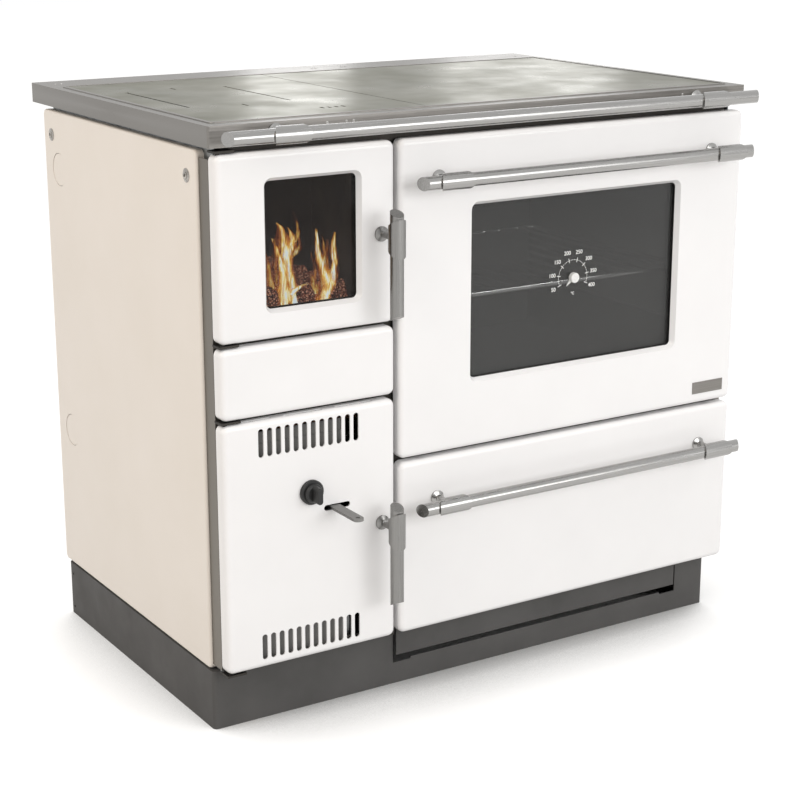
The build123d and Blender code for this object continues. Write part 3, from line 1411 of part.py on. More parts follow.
# ================================================================ drawer
drawer_z = (fronts_bottom, drawer_top)
drawer_floor = fronts_bottom + drawer_floor_rise
box_left = right_column_start + drawer_side_margin
box_right = fronts_right - drawer_side_margin
box_top = drawer_top - drawer_top_drop
box_front = front_back + drawer_sheet
box_back = box_front + drawer_box_depth
with BuildPart() as drawer_front:
    pressed_pan(right_span, drawer_z)
drawer_front.part.label = "drawer_front"
export_step(drawer_front.part, "parts/drawer_front.step")

runner_z = plinth_height + runner_rise + drawer_sheet
strip_z = runner_z + slide_clearance
with BuildPart() as drawer_box:
    block((box_left, box_right), (box_front, box_back), (drawer_floor, box_top))
    block(
        (box_left + drawer_sheet, box_right - drawer_sheet),
        (box_front, box_back - drawer_sheet),
        (drawer_floor + drawer_sheet, box_top),
        Mode.SUBTRACT,
    )
    with BuildSketch(front_plane(box_front)):
        with Locations((right_column_x, sum(drawer_z) / 2)):
            RectangleRounded(
                right_span[1] - right_span[0] - front_wall,
                drawer_z[1] - drawer_z[0] - front_wall,
                front_corner_radius - front_wall / 2,
            )
    extrude(amount=drawer_sheet)
    strip_span = (strip_z, strip_z + slide_strip_height)
    block((box_left - slide_strip, box_left), (box_front, box_back), strip_span)
    block((box_right, box_right + slide_strip), (box_front, box_back), strip_span)
drawer_box.part.label = "drawer_box"
export_step(drawer_box.part, "parts/drawer_box.step")

runner_ends = (hearth_front + moving_gap, box_back)
with BuildPart() as drawer_runners:
    block((partition_right, box_left - moving_gap), runner_ends, (runner_z - drawer_sheet, runner_z))
    block((partition_right, partition_right + drawer_sheet), runner_ends, (runner_z - runner_web, runner_z))
    block((box_right + moving_gap, inside_right), runner_ends, (runner_z - drawer_sheet, runner_z))
    block((inside_right - drawer_sheet, inside_right), runner_ends, (runner_z - runner_web, runner_z))
drawer_runners.part.label = "drawer_runners"
export_step(drawer_runners.part, "parts/drawer_runners.step")

kick_front = plinth_front - kick_front_offset
kick_span = (plinth_opening_left + kick_gaps[0], plinth_opening_right - kick_gaps[1])
with BuildPart() as drawer_kick:
    block(
        kick_span,
        (kick_front, kick_front + casing_sheet),
        (plinth_opening_bottom + kick_bottom_gap, drawer_floor),
    )
    block(
        kick_span,
        (kick_front - kick_flange, kick_front),
        (drawer_floor - casing_sheet, drawer_floor),
    )
drawer_kick.part.label = "drawer_kick"
export_step(drawer_kick.part, "parts/drawer_kick.step")
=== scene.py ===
"""A wood cookstove: enamelled fronts, a ground steel hob, brushed rails, a fire behind glass and an oven."""

import logging
import math
from dataclasses import dataclass
from enum import Enum

import bmesh
import bpy
from mathutils import Matrix, Vector, noise


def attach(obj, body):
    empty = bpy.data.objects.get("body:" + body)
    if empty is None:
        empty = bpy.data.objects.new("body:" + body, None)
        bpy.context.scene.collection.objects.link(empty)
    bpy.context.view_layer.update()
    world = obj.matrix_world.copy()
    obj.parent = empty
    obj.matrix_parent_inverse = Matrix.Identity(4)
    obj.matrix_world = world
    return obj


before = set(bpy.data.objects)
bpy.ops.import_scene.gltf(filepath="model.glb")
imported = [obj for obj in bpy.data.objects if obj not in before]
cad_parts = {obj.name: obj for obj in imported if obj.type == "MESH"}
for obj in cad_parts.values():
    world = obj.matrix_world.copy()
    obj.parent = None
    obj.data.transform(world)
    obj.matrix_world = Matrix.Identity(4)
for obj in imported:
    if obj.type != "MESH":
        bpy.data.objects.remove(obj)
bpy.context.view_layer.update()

LOG = logging.getLogger("cookstove")
MM = 0.001
IMAGE_SIZE = 800
# Enamel, paint, glass and moulded resin all bend light by about this much.
GLASSY_IOR = 1.5

Colour = tuple[float, float, float, float]
Triple = tuple[float, float, float]
Pair = tuple[float, float]
Profile = tuple[Pair, ...]
Ring = list[bmesh.types.BMVert]


# ---------------------------------------------------------------- colours and nodes
def linear(colour: str) -> Colour:
    """Turns an sRGB hex colour to the linear values that shaders take.

    Args:
        colour: Six hex digits, with or without a leading hash.

    Returns:
        Red, green, blue and an alpha of 1.
    """
    digits = colour.lstrip("#")
    channels = [int(digits[i : i + 2], 16) / 255 for i in (0, 2, 4)]
    converted = [c / 12.92 if c <= 0.04045 else ((c + 0.055) / 1.055) ** 2.4 for c in channels]
    return (converted[0], converted[1], converted[2], 1.0)


def per_mm(size: float) -> float:
    """Gives the texture scale at which one unit of a pattern is size millimetres wide."""
    return 1000.0 / size


def add_node(
    tree: bpy.types.NodeTree, kind: str, settings: dict | None = None, links: dict | None = None
) -> bpy.types.Node:
    """Adds a node with its settings and links.

    Args:
        tree: The node tree that gets the node.
        kind: The node's type, such as ShaderNodeTexNoise.
        settings: Values by socket or property name; "stops" holds a colour ramp's places and hex colours.
        links: Output sockets by the name or number of the input they go to.

    Returns:
        The new node.
    """
    made = tree.nodes.new(kind)
    for name, value in (settings or {}).items():
        if name == "stops":
            ramp = made.color_ramp
            while len(ramp.elements) < len(value):
                ramp.elements.new(0.5)
            for element, (position, colour) in zip(ramp.elements, value, strict=True):
                element.position = position
                element.color = linear(colour)
        elif name in made.inputs:
            made.inputs[name].default_value = value
        else:
            setattr(made, name, value)
    for name, socket in (links or {}).items():
        tree.links.new(socket, made.inputs[name])
    return made


def shown_to_the_eye(tree: bpy.types.NodeTree) -> bpy.types.NodeSocket:
    """Tells what is looked at from what only lights the stove.

    Args:
        tree: The node tree that gets the nodes.

    Returns:
        A number that is 1 for the camera, in mirrors and through glass, and 0 for other rays.
    """
    path = add_node(tree, "ShaderNodeLightPath")
    shown = path.outputs["Is Camera Ray"]
    for ray in ("Is Glossy Ray", "Is Transmission Ray"):
        either = add_node(tree, "ShaderNodeMath", {"operation": "MAXIMUM"}, {0: shown, 1: path.outputs[ray]})
        shown = either.outputs["Value"]
    return shown


@dataclass(frozen=True)
class Canvas:
    """What a finish works on: a material's node tree, its shader, and the point on the surface in metres."""

    tree: bpy.types.NodeTree
    shader: bpy.types.Node
    place: bpy.types.NodeSocket

    def add(self, kind: str, settings: dict | None = None, links: dict | None = None) -> bpy.types.Node:
        """Adds a node to the material in the way of add_node, and gives it back."""
        return add_node(self.tree, kind, settings, links)

    def coat(self, values: dict[str, bpy.types.NodeSocket | float | Colour]) -> None:
        """Gives the shader's sockets their values.

        Args:
            values: By socket name, an output to link to it, or a number or a colour to set on it.
        """
        for name, value in values.items():
            socket = self.shader.inputs[name]
            if isinstance(value, bpy.types.NodeSocket):
                self.tree.links.new(value, socket)
            else:
                socket.default_value = value

    def mottle(self, patch_mm: float, low: str, high: str) -> bpy.types.NodeSocket:
        """Makes a colour that wanders between two tones.

        Args:
            patch_mm: How wide its patches are.
            low: The first tone, as an sRGB hex colour.
            high: The second tone.

        Returns:
            The colour.
        """
        settings = {"Scale": per_mm(patch_mm), "Detail": 4.0, "Roughness": 0.55}
        cloud = self.add("ShaderNodeTexNoise", settings, {"Vector": self.place}).outputs["Fac"]
        tones = {"stops": [(0.32, low), (0.68, high)]}
        return self.add("ShaderNodeValToRGB", tones, {"Fac": cloud}).outputs["Color"]

    def spread(self, patch_mm: float, around: float, below: float, above: float) -> bpy.types.NodeSocket:
        """Makes a number that wanders round a value.

        Args:
            patch_mm: How wide its patches are.
            around: The value.
            below: How far the number goes under it.
            above: How far it goes over it.

        Returns:
            The number.
        """
        settings = {"Scale": per_mm(patch_mm), "Detail": 3.0}
        cloud = self.add("ShaderNodeTexNoise", settings, {"Vector": self.place}).outputs["Fac"]
        fit = {"From Min": 0.3, "From Max": 0.7, "To Min": around - below, "To Max": around + above}
        return self.add("ShaderNodeMapRange", fit, {"Value": cloud}).outputs["Result"]

    def roughen(
        self, grain_mm: float, strength: float, depth_mm: float, detail: float = 2.0
    ) -> bpy.types.NodeSocket:
        """Makes a relief of even grains.

        Args:
            grain_mm: How wide they are.
            strength: How much of their slope shows, from 0 to 1.
            depth_mm: How deep they are.
            detail: How many finer layers they have.

        Returns:
            The surface's normal.
        """
        settings = {"Scale": per_mm(grain_mm), "Detail": detail}
        grains = self.add("ShaderNodeTexNoise", settings, {"Vector": self.place}).outputs["Fac"]
        depth = {"Strength": strength, "Distance": depth_mm * MM}
        return self.add("ShaderNodeBump", depth, {"Height": grains}).outputs["Normal"]

    def stretch(
        self, widths_mm: Triple, detail: float, roughness: float, distortion: float = 0.0
    ) -> bpy.types.NodeSocket:
        """Makes streaks: a noise whose features are longer one way than the others.

        Args:
            widths_mm: How wide a feature is along X, Y and Z.
            detail: How many finer layers it has.
            roughness: How strong those layers are.
            distortion: How far the streaks are swirled.

        Returns:
            A number from 0 to 1.
        """
        scale = tuple(per_mm(width) for width in widths_mm)
        drawn = self.add("ShaderNodeMapping", {"Scale": scale}, {"Vector": self.place})
        settings = {"Scale": 1.0, "Detail": detail, "Roughness": roughness, "Distortion": distortion}
        return self.add("ShaderNodeTexNoise", settings, {"Vector": drawn.outputs["Vector"]}).outputs["Fac"]


class Grain(Enum):
    """The axis along which a metal was brushed or drawn."""

    ALONG_X = "X"
    ALONG_Y = "Y"
    ALONG_Z = "Z"


# ---------------------------------------------------------------- finishes
@dataclass(frozen=True)
class Finish:
    """What every finish shares: a name, a main colour and the material made from them."""

    name: str
    colour: str

    def material(self) -> bpy.types.Material:
        """Gives the finish's material, which is made once.

        Returns:
            The material, with a Principled shader dressed by the finish.
        """
        found = bpy.data.materials.get(self.name)
        if found:
            return found
        made = bpy.data.materials.new(self.name)
        made.use_nodes = True
        made.diffuse_color = linear(self.colour)
        tree = made.node_tree
        place = add_node(tree, "ShaderNodeTexCoord").outputs["Object"]
        self.dress(Canvas(tree, tree.nodes["Principled BSDF"], place))
        return made

    def dress(self, canvas: Canvas) -> None:
        """Sets the shader up for this finish; each finish has its own.

        Args:
            canvas: The material's nodes.
        """
        raise NotImplementedError


@dataclass(frozen=True)
class VitreousEnamel(Finish):
    """Glass enamel fired on pressed steel: glossy and white, with a faint orange peel from the firing."""

    shade: str
    roughness: float = 0.2

    def dress(self, canvas: Canvas) -> None:
        """Lays a nearly even tone under a glassy surface with a shallow ripple.

        Args:
            canvas: The material's nodes.
        """
        canvas.coat({
            "Base Color": canvas.mottle(patch_mm=140.0, low=self.shade, high=self.colour),
            "Roughness": canvas.spread(patch_mm=60.0, around=self.roughness, below=0.04, above=0.06),
            "Normal": canvas.roughen(grain_mm=7.0, strength=0.08, depth_mm=0.05),
            "IOR": GLASSY_IOR,
            "Specular IOR Level": 0.4,
        })


@dataclass(frozen=True)
class BrushedSteel(Finish):
    """Stainless steel brushed with a belt: fine parallel scratches that stretch each highlight."""

    shade: str
    grain: Grain
    roughness: float
    anisotropy: float = 0.0
    # Real scratches are some 0.1 mm apart; they are drawn coarser, so that the render shows them.
    scratch_mm: float = 1.6
    stroke_mm: float = 90.0

    def dress(self, canvas: Canvas) -> None:
        """Stretches a fine noise along the grain, for tone, gloss and relief.

        Args:
            canvas: The material's nodes.
        """
        widths = tuple(self.stroke_mm if axis == self.grain.value else self.scratch_mm for axis in "XYZ")
        strokes = canvas.stretch(widths, detail=5.0, roughness=0.65)
        tones = {"stops": [(0.3, self.shade), (0.7, self.colour)]}
        fit = {
            "From Min": 0.3,
            "From Max": 0.7,
            "To Min": self.roughness - 0.07,
            "To Max": self.roughness + 0.1,
        }
        depth = {"Strength": 0.15, "Distance": 0.03 * MM}
        canvas.coat({
            "Base Color": canvas.add("ShaderNodeValToRGB", tones, {"Fac": strokes}).outputs["Color"],
            "Roughness": canvas.add("ShaderNodeMapRange", fit, {"Value": strokes}).outputs["Result"],
            "Normal": canvas.add("ShaderNodeBump", depth, {"Height": strokes}).outputs["Normal"],
            "Metallic": 1.0,
        })
        if self.anisotropy:
            across = canvas.add("ShaderNodeTangent", {"direction_type": "RADIAL", "axis": self.grain.value})
            canvas.coat({"Anisotropic": self.anisotropy, "Tangent": across.outputs["Tangent"]})


@dataclass(frozen=True)
class GroundHobSteel(Finish):
    """Thick steel plate, ground flat and oiled: a greenish bloom of patches over long faint grinding marks.

    The grinding runs along X, so each reflection is drawn out across it, from the plate's back to its front.
    """

    shade: str
    grinding_mm: Triple = (160.0, 3.0, 160.0)

    def dress(self, canvas: Canvas) -> None:
        """Mixes cloudy patches with long grinding marks, for tone and gloss.

        Args:
            canvas: The material's nodes.
        """
        bloom = canvas.mottle(patch_mm=130.0, low=self.shade, high=self.colour)
        marks = canvas.stretch(self.grinding_mm, detail=6.0, roughness=0.7)
        blend = {"blend_type": "SOFT_LIGHT", "Fac": 0.3}
        tone = canvas.add("ShaderNodeMixRGB", blend, {"Color1": bloom, "Color2": marks})
        depth = {"Strength": 0.12, "Distance": 0.05 * MM}
        across = canvas.add("ShaderNodeTangent", {"direction_type": "RADIAL", "axis": Grain.ALONG_X.value})
        canvas.coat({
            "Base Color": tone.outputs["Color"],
            "Roughness": canvas.spread(patch_mm=75.0, around=0.3, below=0.04, above=0.06),
            "Normal": canvas.add("ShaderNodeBump", depth, {"Height": marks}).outputs["Normal"],
            "Metallic": 1.0,
            "Anisotropic": 0.85,
            "Tangent": across.outputs["Tangent"],
        })


@dataclass(frozen=True)
class StovePaint(Finish):
    """Heat-resistant paint sprayed on sheet steel: a satin film with a fine dry grain."""

    shade: str
    roughness: float
    specular: float
    grit_mm: float = 1.2
    grit_strength: float = 0.25

    def dress(self, canvas: Canvas) -> None:
        """Gives an even tone with the grain of sprayed paint.

        Args:
            canvas: The material's nodes.
        """
        canvas.coat({
            "Base Color": canvas.mottle(patch_mm=90.0, low=self.shade, high=self.colour),
            "Roughness": canvas.spread(patch_mm=40.0, around=self.roughness, below=0.05, above=0.08),
            "Normal": canvas.roughen(self.grit_mm, self.grit_strength, depth_mm=0.05),
            "IOR": GLASSY_IOR,
            "Specular IOR Level": self.specular,
        })


@dataclass(frozen=True)
class GalvanisedSheet(Finish):
    """Hot-dipped galvanised sheet: the zinc froze in angular spangles a centimetre or so wide."""

    shade: str
    spangle_mm: float = 14.0

    def dress(self, canvas: Canvas) -> None:
        """Draws the spangles as cells, each with its own tone and gloss.

        Args:
            canvas: The material's nodes.
        """
        size = {"Scale": per_mm(self.spangle_mm)}
        cells = canvas.add("ShaderNodeTexVoronoi", size, {"Vector": canvas.place}).outputs["Color"]
        tones = {"stops": [(0.1, self.shade), (0.9, self.colour)]}
        tone = canvas.add("ShaderNodeValToRGB", tones, {"Fac": cells})
        gloss = canvas.add("ShaderNodeMapRange", {"To Min": 0.34, "To Max": 0.55}, {"Value": cells})
        canvas.coat({
            "Base Color": tone.outputs["Color"],
            "Roughness": gloss.outputs["Result"],
            "Metallic": 0.9,
        })


@dataclass(frozen=True)
class CastIron(Finish):
    """Grey iron cast in sand: dull and dark, with the sand's grain in its skin."""

    shade: str

    def dress(self, canvas: Canvas) -> None:
        """Roughens a dark tone with a sandy relief.

        Args:
            canvas: The material's nodes.
        """
        canvas.coat({
            "Base Color": canvas.mottle(patch_mm=25.0, low=self.shade, high=self.colour),
            "Normal": canvas.roughen(grain_mm=1.5, strength=0.5, depth_mm=0.3, detail=5.0),
            "Metallic": 0.5,
            "Roughness": 0.65,
        })


@dataclass(frozen=True)
class Fireclay(Finish):
    """Pressed and fired clay brick: dry and sandy, sooted in the fire."""

    shade: str

    def dress(self, canvas: Canvas) -> None:
        """Darkens the clay with soot and pits its face.

        Args:
            canvas: The material's nodes.
        """
        canvas.coat({
            "Base Color": canvas.mottle(patch_mm=70.0, low=self.shade, high=self.colour),
            "Normal": canvas.roughen(grain_mm=8.0, strength=0.2, depth_mm=0.5),
            "Roughness": 0.9,
        })


@dataclass(frozen=True)
class CeramicGlass(Finish):
    """Glass ceramic, drawn and polished: a smoky pane that mirrors the room and half hides what it covers."""

    opacity: float

    def dress(self, canvas: Canvas) -> None:
        """Sets one smoky tone with a thin uneven haze, partly see-through.

        Args:
            canvas: The material's nodes.
        """
        canvas.coat({
            "Base Color": linear(self.colour),
            "Alpha": canvas.spread(patch_mm=120.0, around=self.opacity, below=0.03, above=0.03),
            "Roughness": 0.03,
            "IOR": GLASSY_IOR,
        })


@dataclass(frozen=True)
class MouldedPhenolic(Finish):
    """Phenolic resin moulded for a hot knob: black and hard, with a satin mould skin."""

    shade: str

    def dress(self, canvas: Canvas) -> None:
        """Gives a black tone with a faint mould grain.

        Args:
            canvas: The material's nodes.
        """
        canvas.coat({
            "Base Color": canvas.mottle(patch_mm=12.0, low=self.shade, high=self.colour),
            "Normal": canvas.roughen(grain_mm=0.8, strength=0.2, depth_mm=0.05),
            "Roughness": 0.45,
            "IOR": GLASSY_IOR,
        })


@dataclass(frozen=True)
class PolishedSteel(Finish):
    """Turned and polished, or chromed, steel: a bright mirror with faint turning marks."""

    shade: str
    roughness: float

    def dress(self, canvas: Canvas) -> None:
        """Varies a bright metal a little in tone and gloss.

        Args:
            canvas: The material's nodes.
        """
        canvas.coat({
            "Base Color": canvas.mottle(patch_mm=8.0, low=self.shade, high=self.colour),
            "Roughness": canvas.spread(patch_mm=5.0, around=self.roughness, below=0.03, above=0.05),
            "Metallic": 1.0,
        })


@dataclass(frozen=True)
class FiredPrint(Finish):
    """White ceramic ink, screened on the glass and fired: matt, and a little uneven at this size."""

    shade: str

    def dress(self, canvas: Canvas) -> None:
        """Gives a matt white with a slight change of tone.

        Args:
            canvas: The material's nodes.
        """
        tone = canvas.mottle(patch_mm=3.0, low=self.shade, high=self.colour)
        canvas.coat({"Base Color": tone, "Roughness": 0.6})


@dataclass(frozen=True)
class GlassRope(Finish):
    """Knitted glass-fibre rope, the seal of a stove door: pale grey strands, twisted and a little furry."""

    shade: str
    # Real strands are some 1.5 mm apart. They are drawn 3.3 mm apart, so that the render shows them: a unit
    # of the wave pattern, here 9 mm, holds 2.76 slanting bands.
    knit_mm: float = 9.0

    def dress(self, canvas: Canvas) -> None:
        """Draws the knit as slanting waves.

        Args:
            canvas: The material's nodes.
        """
        settings = {
            "wave_type": "BANDS",
            "bands_direction": "DIAGONAL",
            "Scale": per_mm(self.knit_mm),
            "Distortion": 1.5,
        }
        waves = canvas.add("ShaderNodeTexWave", settings, {"Vector": canvas.place}).outputs["Fac"]
        tones = {"stops": [(0.1, self.shade), (0.8, self.colour)]}
        tone = canvas.add("ShaderNodeValToRGB", tones, {"Fac": waves})
        relief = canvas.add("ShaderNodeBump", {"Strength": 0.6, "Distance": 0.4 * MM}, {"Height": waves})
        canvas.coat({
            "Base Color": tone.outputs["Color"],
            "Normal": relief.outputs["Normal"],
            "Roughness": 0.95,
        })


@dataclass(frozen=True)
class GlowingEmbers(Finish):
    """Burnt-down beech: a granular crust of ash and coal, red-brown, with a weak glow between the grains."""

    shade: str
    fleck: str
    glow: float = 1.0
    # The heap is cold under this height, and fully lit from warming metres above it.
    cold_below: float = 0.56
    warming: float = 0.03
    # Real grains are 1 to 3 mm; they are drawn at 2.4 mm, so that the render shows them.
    grain_mm: float = 2.4

    def dress(self, canvas: Canvas) -> None:
        """Draws each grain as a cell with its own tone, dark round its edge, and lights the hotter patches.

        Args:
            canvas: The material's nodes.
        """
        size = {"Scale": per_mm(self.grain_mm)}
        grains = canvas.add("ShaderNodeTexVoronoi", size, {"Vector": canvas.place})
        tones = {"stops": [(0.1, self.shade), (0.5, self.colour), (0.9, self.fleck)]}
        own = canvas.add("ShaderNodeValToRGB", tones, {"Fac": grains.outputs["Color"]})
        fit = {"From Min": 0.25, "From Max": 0.75, "To Min": 1.0, "To Max": 0.12}
        bulge = canvas.add("ShaderNodeMapRange", fit, {"Value": grains.outputs["Distance"]}).outputs["Result"]
        blend = {"blend_type": "MULTIPLY", "Fac": 1.0}
        tone = canvas.add("ShaderNodeMixRGB", blend, {"Color1": own.outputs["Color"], "Color2": bulge})
        apart = canvas.add("ShaderNodeSeparateXYZ", {}, {"Vector": canvas.place})
        fit = {"From Min": self.cold_below, "From Max": self.cold_below + self.warming}
        raised = canvas.add("ShaderNodeMapRange", fit, {"Value": apart.outputs["Z"]})
        hot = canvas.spread(patch_mm=22.0, around=self.glow, below=0.55 * self.glow, above=0.0)
        both = {0: hot, 1: raised.outputs["Result"]}
        lit = canvas.add("ShaderNodeMath", {"operation": "MULTIPLY"}, both)
        depth = {"Strength": 0.8, "Distance": 1.0 * MM}
        canvas.coat({
            "Base Color": tone.outputs["Color"],
            "Emission Color": tone.outputs["Color"],
            "Emission Strength": lit.outputs["Value"],
            "Normal": canvas.add("ShaderNodeBump", depth, {"Height": bulge}).outputs["Normal"],
            "Roughness": 0.9,
        })


@dataclass(frozen=True)
class Flame(Finish):
    """Burning wood gas: white-yellow at the heart of each tongue, orange and brown at its torn edge.

    The tongues carry a map with U across and V up. Strength is how bright the gas is, and heart how far the
    foot of the tongue has cooled from white.
    """

    strength: float = 1.2
    heart: float = 0.0
    streak_mm: Triple = (6.5, 6.5, 30.0)
    heat: tuple[tuple[float, str], ...] = (
        (0.05, "#DDE8EE"),
        (0.18, "#F1EAC0"),
        (0.36, "#E8CB66"),
        (0.54, "#DA8E36"),
        (0.76, "#A04A26"),
        (1.0, "#2E130C"),
    )

    def dress(self, canvas: Canvas) -> None:
        """Colours the gas by its distance from the tongue's heart and tears it with upward streaks.

        Args:
            canvas: The material's nodes.
        """
        chart = canvas.add("ShaderNodeUVMap", {"uv_map": "tongue"})
        apart = canvas.add("ShaderNodeSeparateXYZ", {}, {"Vector": chart.outputs["UV"]})
        fit = {"To Min": -1.0, "To Max": 1.0}
        aside = canvas.add("ShaderNodeMapRange", fit, {"Value": apart.outputs["X"]})
        edge = canvas.add("ShaderNodeMath", {"operation": "ABSOLUTE"}, {0: aside.outputs["Result"]})
        fit = {"From Min": 0.1, "From Max": 1.0, "To Min": self.heart, "To Max": self.heart + 0.5}
        height = canvas.add("ShaderNodeMapRange", fit, {"Value": apart.outputs["Y"]})
        streaks = canvas.stretch(self.streak_mm, detail=5.0, roughness=0.6, distortion=1.1)
        fit = {"From Min": 0.3, "From Max": 0.7, "To Min": -0.5, "To Max": 0.5}
        torn = canvas.add("ShaderNodeMapRange", fit, {"Value": streaks})
        cooling = edge.outputs["Value"]
        for part in (height, torn):
            both = {0: cooling, 1: part.outputs["Result"]}
            cooling = canvas.add("ShaderNodeMath", {"operation": "ADD"}, both).outputs["Value"]
        fit = {"From Min": 0.2, "From Max": 0.95, "To Min": 0.95, "To Max": 0.0}
        colour = canvas.add("ShaderNodeValToRGB", {"stops": self.heat}, {"Fac": cooling})
        canvas.coat({
            "Base Color": linear("#000000"),
            "Roughness": 1.0,
            "Specular IOR Level": 0.0,
            "Emission Color": colour.outputs["Color"],
            "Emission Strength": self.strength,
            "Alpha": canvas.add("ShaderNodeMapRange", fit, {"Value": cooling}).outputs["Result"],
        })


@dataclass(frozen=True)
class StudioFloor(Finish):
    """Matt paper under the stove, white to the eye and in mirrors apart from the stove's soft, partly painted
    shadow.
    """

    shade: str
    lift: float = 0.66
    shade_reach: float = 0.3
    # How open to the air a spot is where the lift starts, and where it is whole; under and round the stove
    # the lift fades, a painted shade.
    opening: Pair = (0.32, 0.7)

    def dress(self, canvas: Canvas) -> None:
        """Gives a matt pale grey, lifted to white for the camera, for mirrors and through glass, less where
        closed in: painted shade.

        Args:
            canvas: The material's nodes.
        """
        # Painted shade: the lift to white is dimmed where the floor is closed in under and round the stove.
        air = canvas.add("ShaderNodeAmbientOcclusion", {"Distance": self.shade_reach, "samples": 8})
        fit = {"From Min": self.opening[0], "From Max": self.opening[1], "To Max": self.lift}
        lift_with_painted_shade = canvas.add("ShaderNodeMapRange", fit, {"Value": air.outputs["AO"]})
        both = {0: lift_with_painted_shade.outputs["Result"], 1: shown_to_the_eye(canvas.tree)}
        strength = canvas.add("ShaderNodeMath", {"operation": "MULTIPLY"}, both)
        canvas.coat({
            "Base Color": canvas.mottle(patch_mm=900.0, low=self.shade, high=self.colour),
            "Roughness": 0.95,
            "Specular IOR Level": 0.0,
            "Emission Color": linear("#FFFFFF"),
            "Emission Strength": strength.outputs["Value"],
        })


class Finishes(Enum):
    """The finishes of this stove, by what they are on it."""

    WHITE_FRONT = VitreousEnamel("white_vitreous_enamel", "#F7F6F6", "#F4F3F3")
    CREAM_CASING = VitreousEnamel("cream_vitreous_enamel", "#F0E8DF", "#EDE5DB", roughness=0.35)
    RAIL = BrushedSteel("brushed_rail_steel", "#A6A5A3", "#9A9997", Grain.ALONG_X, roughness=0.21)
    HANDLE = BrushedSteel("brushed_handle_steel", "#8E8D8B", "#848381", Grain.ALONG_Z, roughness=0.3)
    FRAME = BrushedSteel(
        "brushed_frame_steel", "#8A8783", "#7A7773", Grain.ALONG_X, roughness=0.34, anisotropy=0.6
    )
    STRIP = BrushedSteel("brushed_strip_steel", "#7F7A73", "#6E6962", Grain.ALONG_Z, roughness=0.4)
    LEVER = BrushedSteel("drawn_lever_steel", "#8C8B89", "#787775", Grain.ALONG_Y, roughness=0.4)
    DARK_STEEL = BrushedSteel("dull_dark_steel", "#4A4744", "#383633", Grain.ALONG_Z, roughness=0.55)
    HOB = GroundHobSteel("ground_hob_steel", "#807E71", "#6C6B5C")
    CUP = PolishedSteel("turned_cup_steel", "#B0ACA6", "#8C8882", roughness=0.25)
    SMALL_SCREW = PolishedSteel("small_screw_steel", "#C4C2BF", "#A5A3A0", roughness=0.3)
    RACK = PolishedSteel("chromed_rack_wire", "#F0F0EF", "#E6E6E4", roughness=0.2)
    PLINTH = StovePaint("grey_stove_paint", "#5E5D5C", "#555453", roughness=0.6, specular=0.15)
    SHIELD = StovePaint("grey_shield_paint", "#7C7B79", "#706F6D", roughness=0.55, specular=0.3)
    OVEN_ENAMEL = StovePaint(
        "dark_oven_enamel",
        "#4A4A4B",
        "#444445",
        roughness=0.6,
        specular=0.1,
        grit_mm=4.0,
        grit_strength=0.02,
    )
    LINING_ENAMEL = StovePaint(
        "black_lining_enamel",
        "#232324",
        "#1D1D1E",
        roughness=0.6,
        specular=0.1,
        grit_mm=4.0,
        grit_strength=0.02,
    )
    SHEET = GalvanisedSheet("galvanised_sheet", "#A6A8A8", "#7C7F80")
    IRON = CastIron("sand_cast_iron", "#33312F", "#242322")
    BRICK = Fireclay("sooted_fireclay", "#4A4038", "#2B2522")
    FIRE_GLASS = CeramicGlass("firebox_glass_ceramic", "#2E2A28", opacity=0.2)
    OVEN_GLASS = CeramicGlass("oven_glass_ceramic", "#4C4C4B", opacity=0.42)
    INNER_GLASS = CeramicGlass("oven_inner_glass", "#5A5A59", opacity=0.14)
    KNOB = MouldedPhenolic("moulded_phenolic", "#1E1E1E", "#141414")
    GASKET = MouldedPhenolic("black_window_gasket", "#161616", "#0E0E0E")
    PRINT = FiredPrint("fired_white_print", "#F4F4F2", "#E4E4E2")
    SEAL = GlassRope("knitted_glass_rope", "#8E8A84", "#4A4744")
    EMBERS = GlowingEmbers("glowing_beech_embers", "#7A4030", "#1A0E0C", fleck="#D49A7C")
    FLAME = Flame("wood_flame", "#FFC860")
    LOW_FLAME = Flame("orange_wood_flame", "#E0863A", strength=0.85, heart=0.35)
    FLOOR = StudioFloor("studio_floor_paper", "#BEBEBD", "#B9B9B8")

    @property
    def material(self) -> bpy.types.Material:
        """The finish's material."""
        return self.value.material()


# ---------------------------------------------------------------- helpers for pieces
def dress(finish: Finishes, *nodes: str) -> None:
    """Gives CAD nodes their finish.

    Args:
        finish: What they are finished in.
        nodes: The nodes' names.
    """
    for name in nodes:
        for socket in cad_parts[name].material_slots:
            socket.material = finish.material


def add_object(
    name: str, data: bpy.types.ID, place: Triple | Vector = (0.0, 0.0, 0.0), turn: Triple = (0.0, 0.0, 0.0)
) -> bpy.types.Object:
    """Adds an object to the scene.

    Args:
        name: Its name.
        data: Its mesh, text, light or camera.
        place: Where it is, in metres.
        turn: Its turns about X, Y and Z, in radians.

    Returns:
        The new object.
    """
    made = bpy.data.objects.new(name, data)
    bpy.context.scene.collection.objects.link(made)
    made.location = place
    made.rotation_euler = turn
    return made


def place_mesh(
    name: str, mesh: bmesh.types.BMesh, finish: Finishes, body: str, smooth: bool = True
) -> bpy.types.Object:
    """Makes a mesh a piece of the stove.

    Args:
        name: The piece's name.
        mesh: Its mesh, in metres in the stove's own frame; it is freed here.
        finish: What it is finished in.
        body: The body that it rides on.
        smooth: Whether its faces are shaded smooth, with sharp edges over 35 degrees kept.

    Returns:
        The new object.
    """
    bmesh.ops.recalc_face_normals(mesh, faces=mesh.faces)
    data = bpy.data.meshes.new(name)
    mesh.to_mesh(data)
    mesh.free()
    made = add_object(name, data)
    data.materials.append(finish.material)
    if smooth:
        data.polygons.foreach_set("use_smooth", [True] * len(data.polygons))
        data.set_sharp_from_angle(angle=math.radians(35.0))
    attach(made, body)
    LOG.info("%s rides on %s", name, body)
    return made


def full_turn(steps: int) -> list[float]:
    """Gives evenly spaced angles of a full turn, in radians."""
    return [2 * math.pi * step / steps for step in range(steps)]


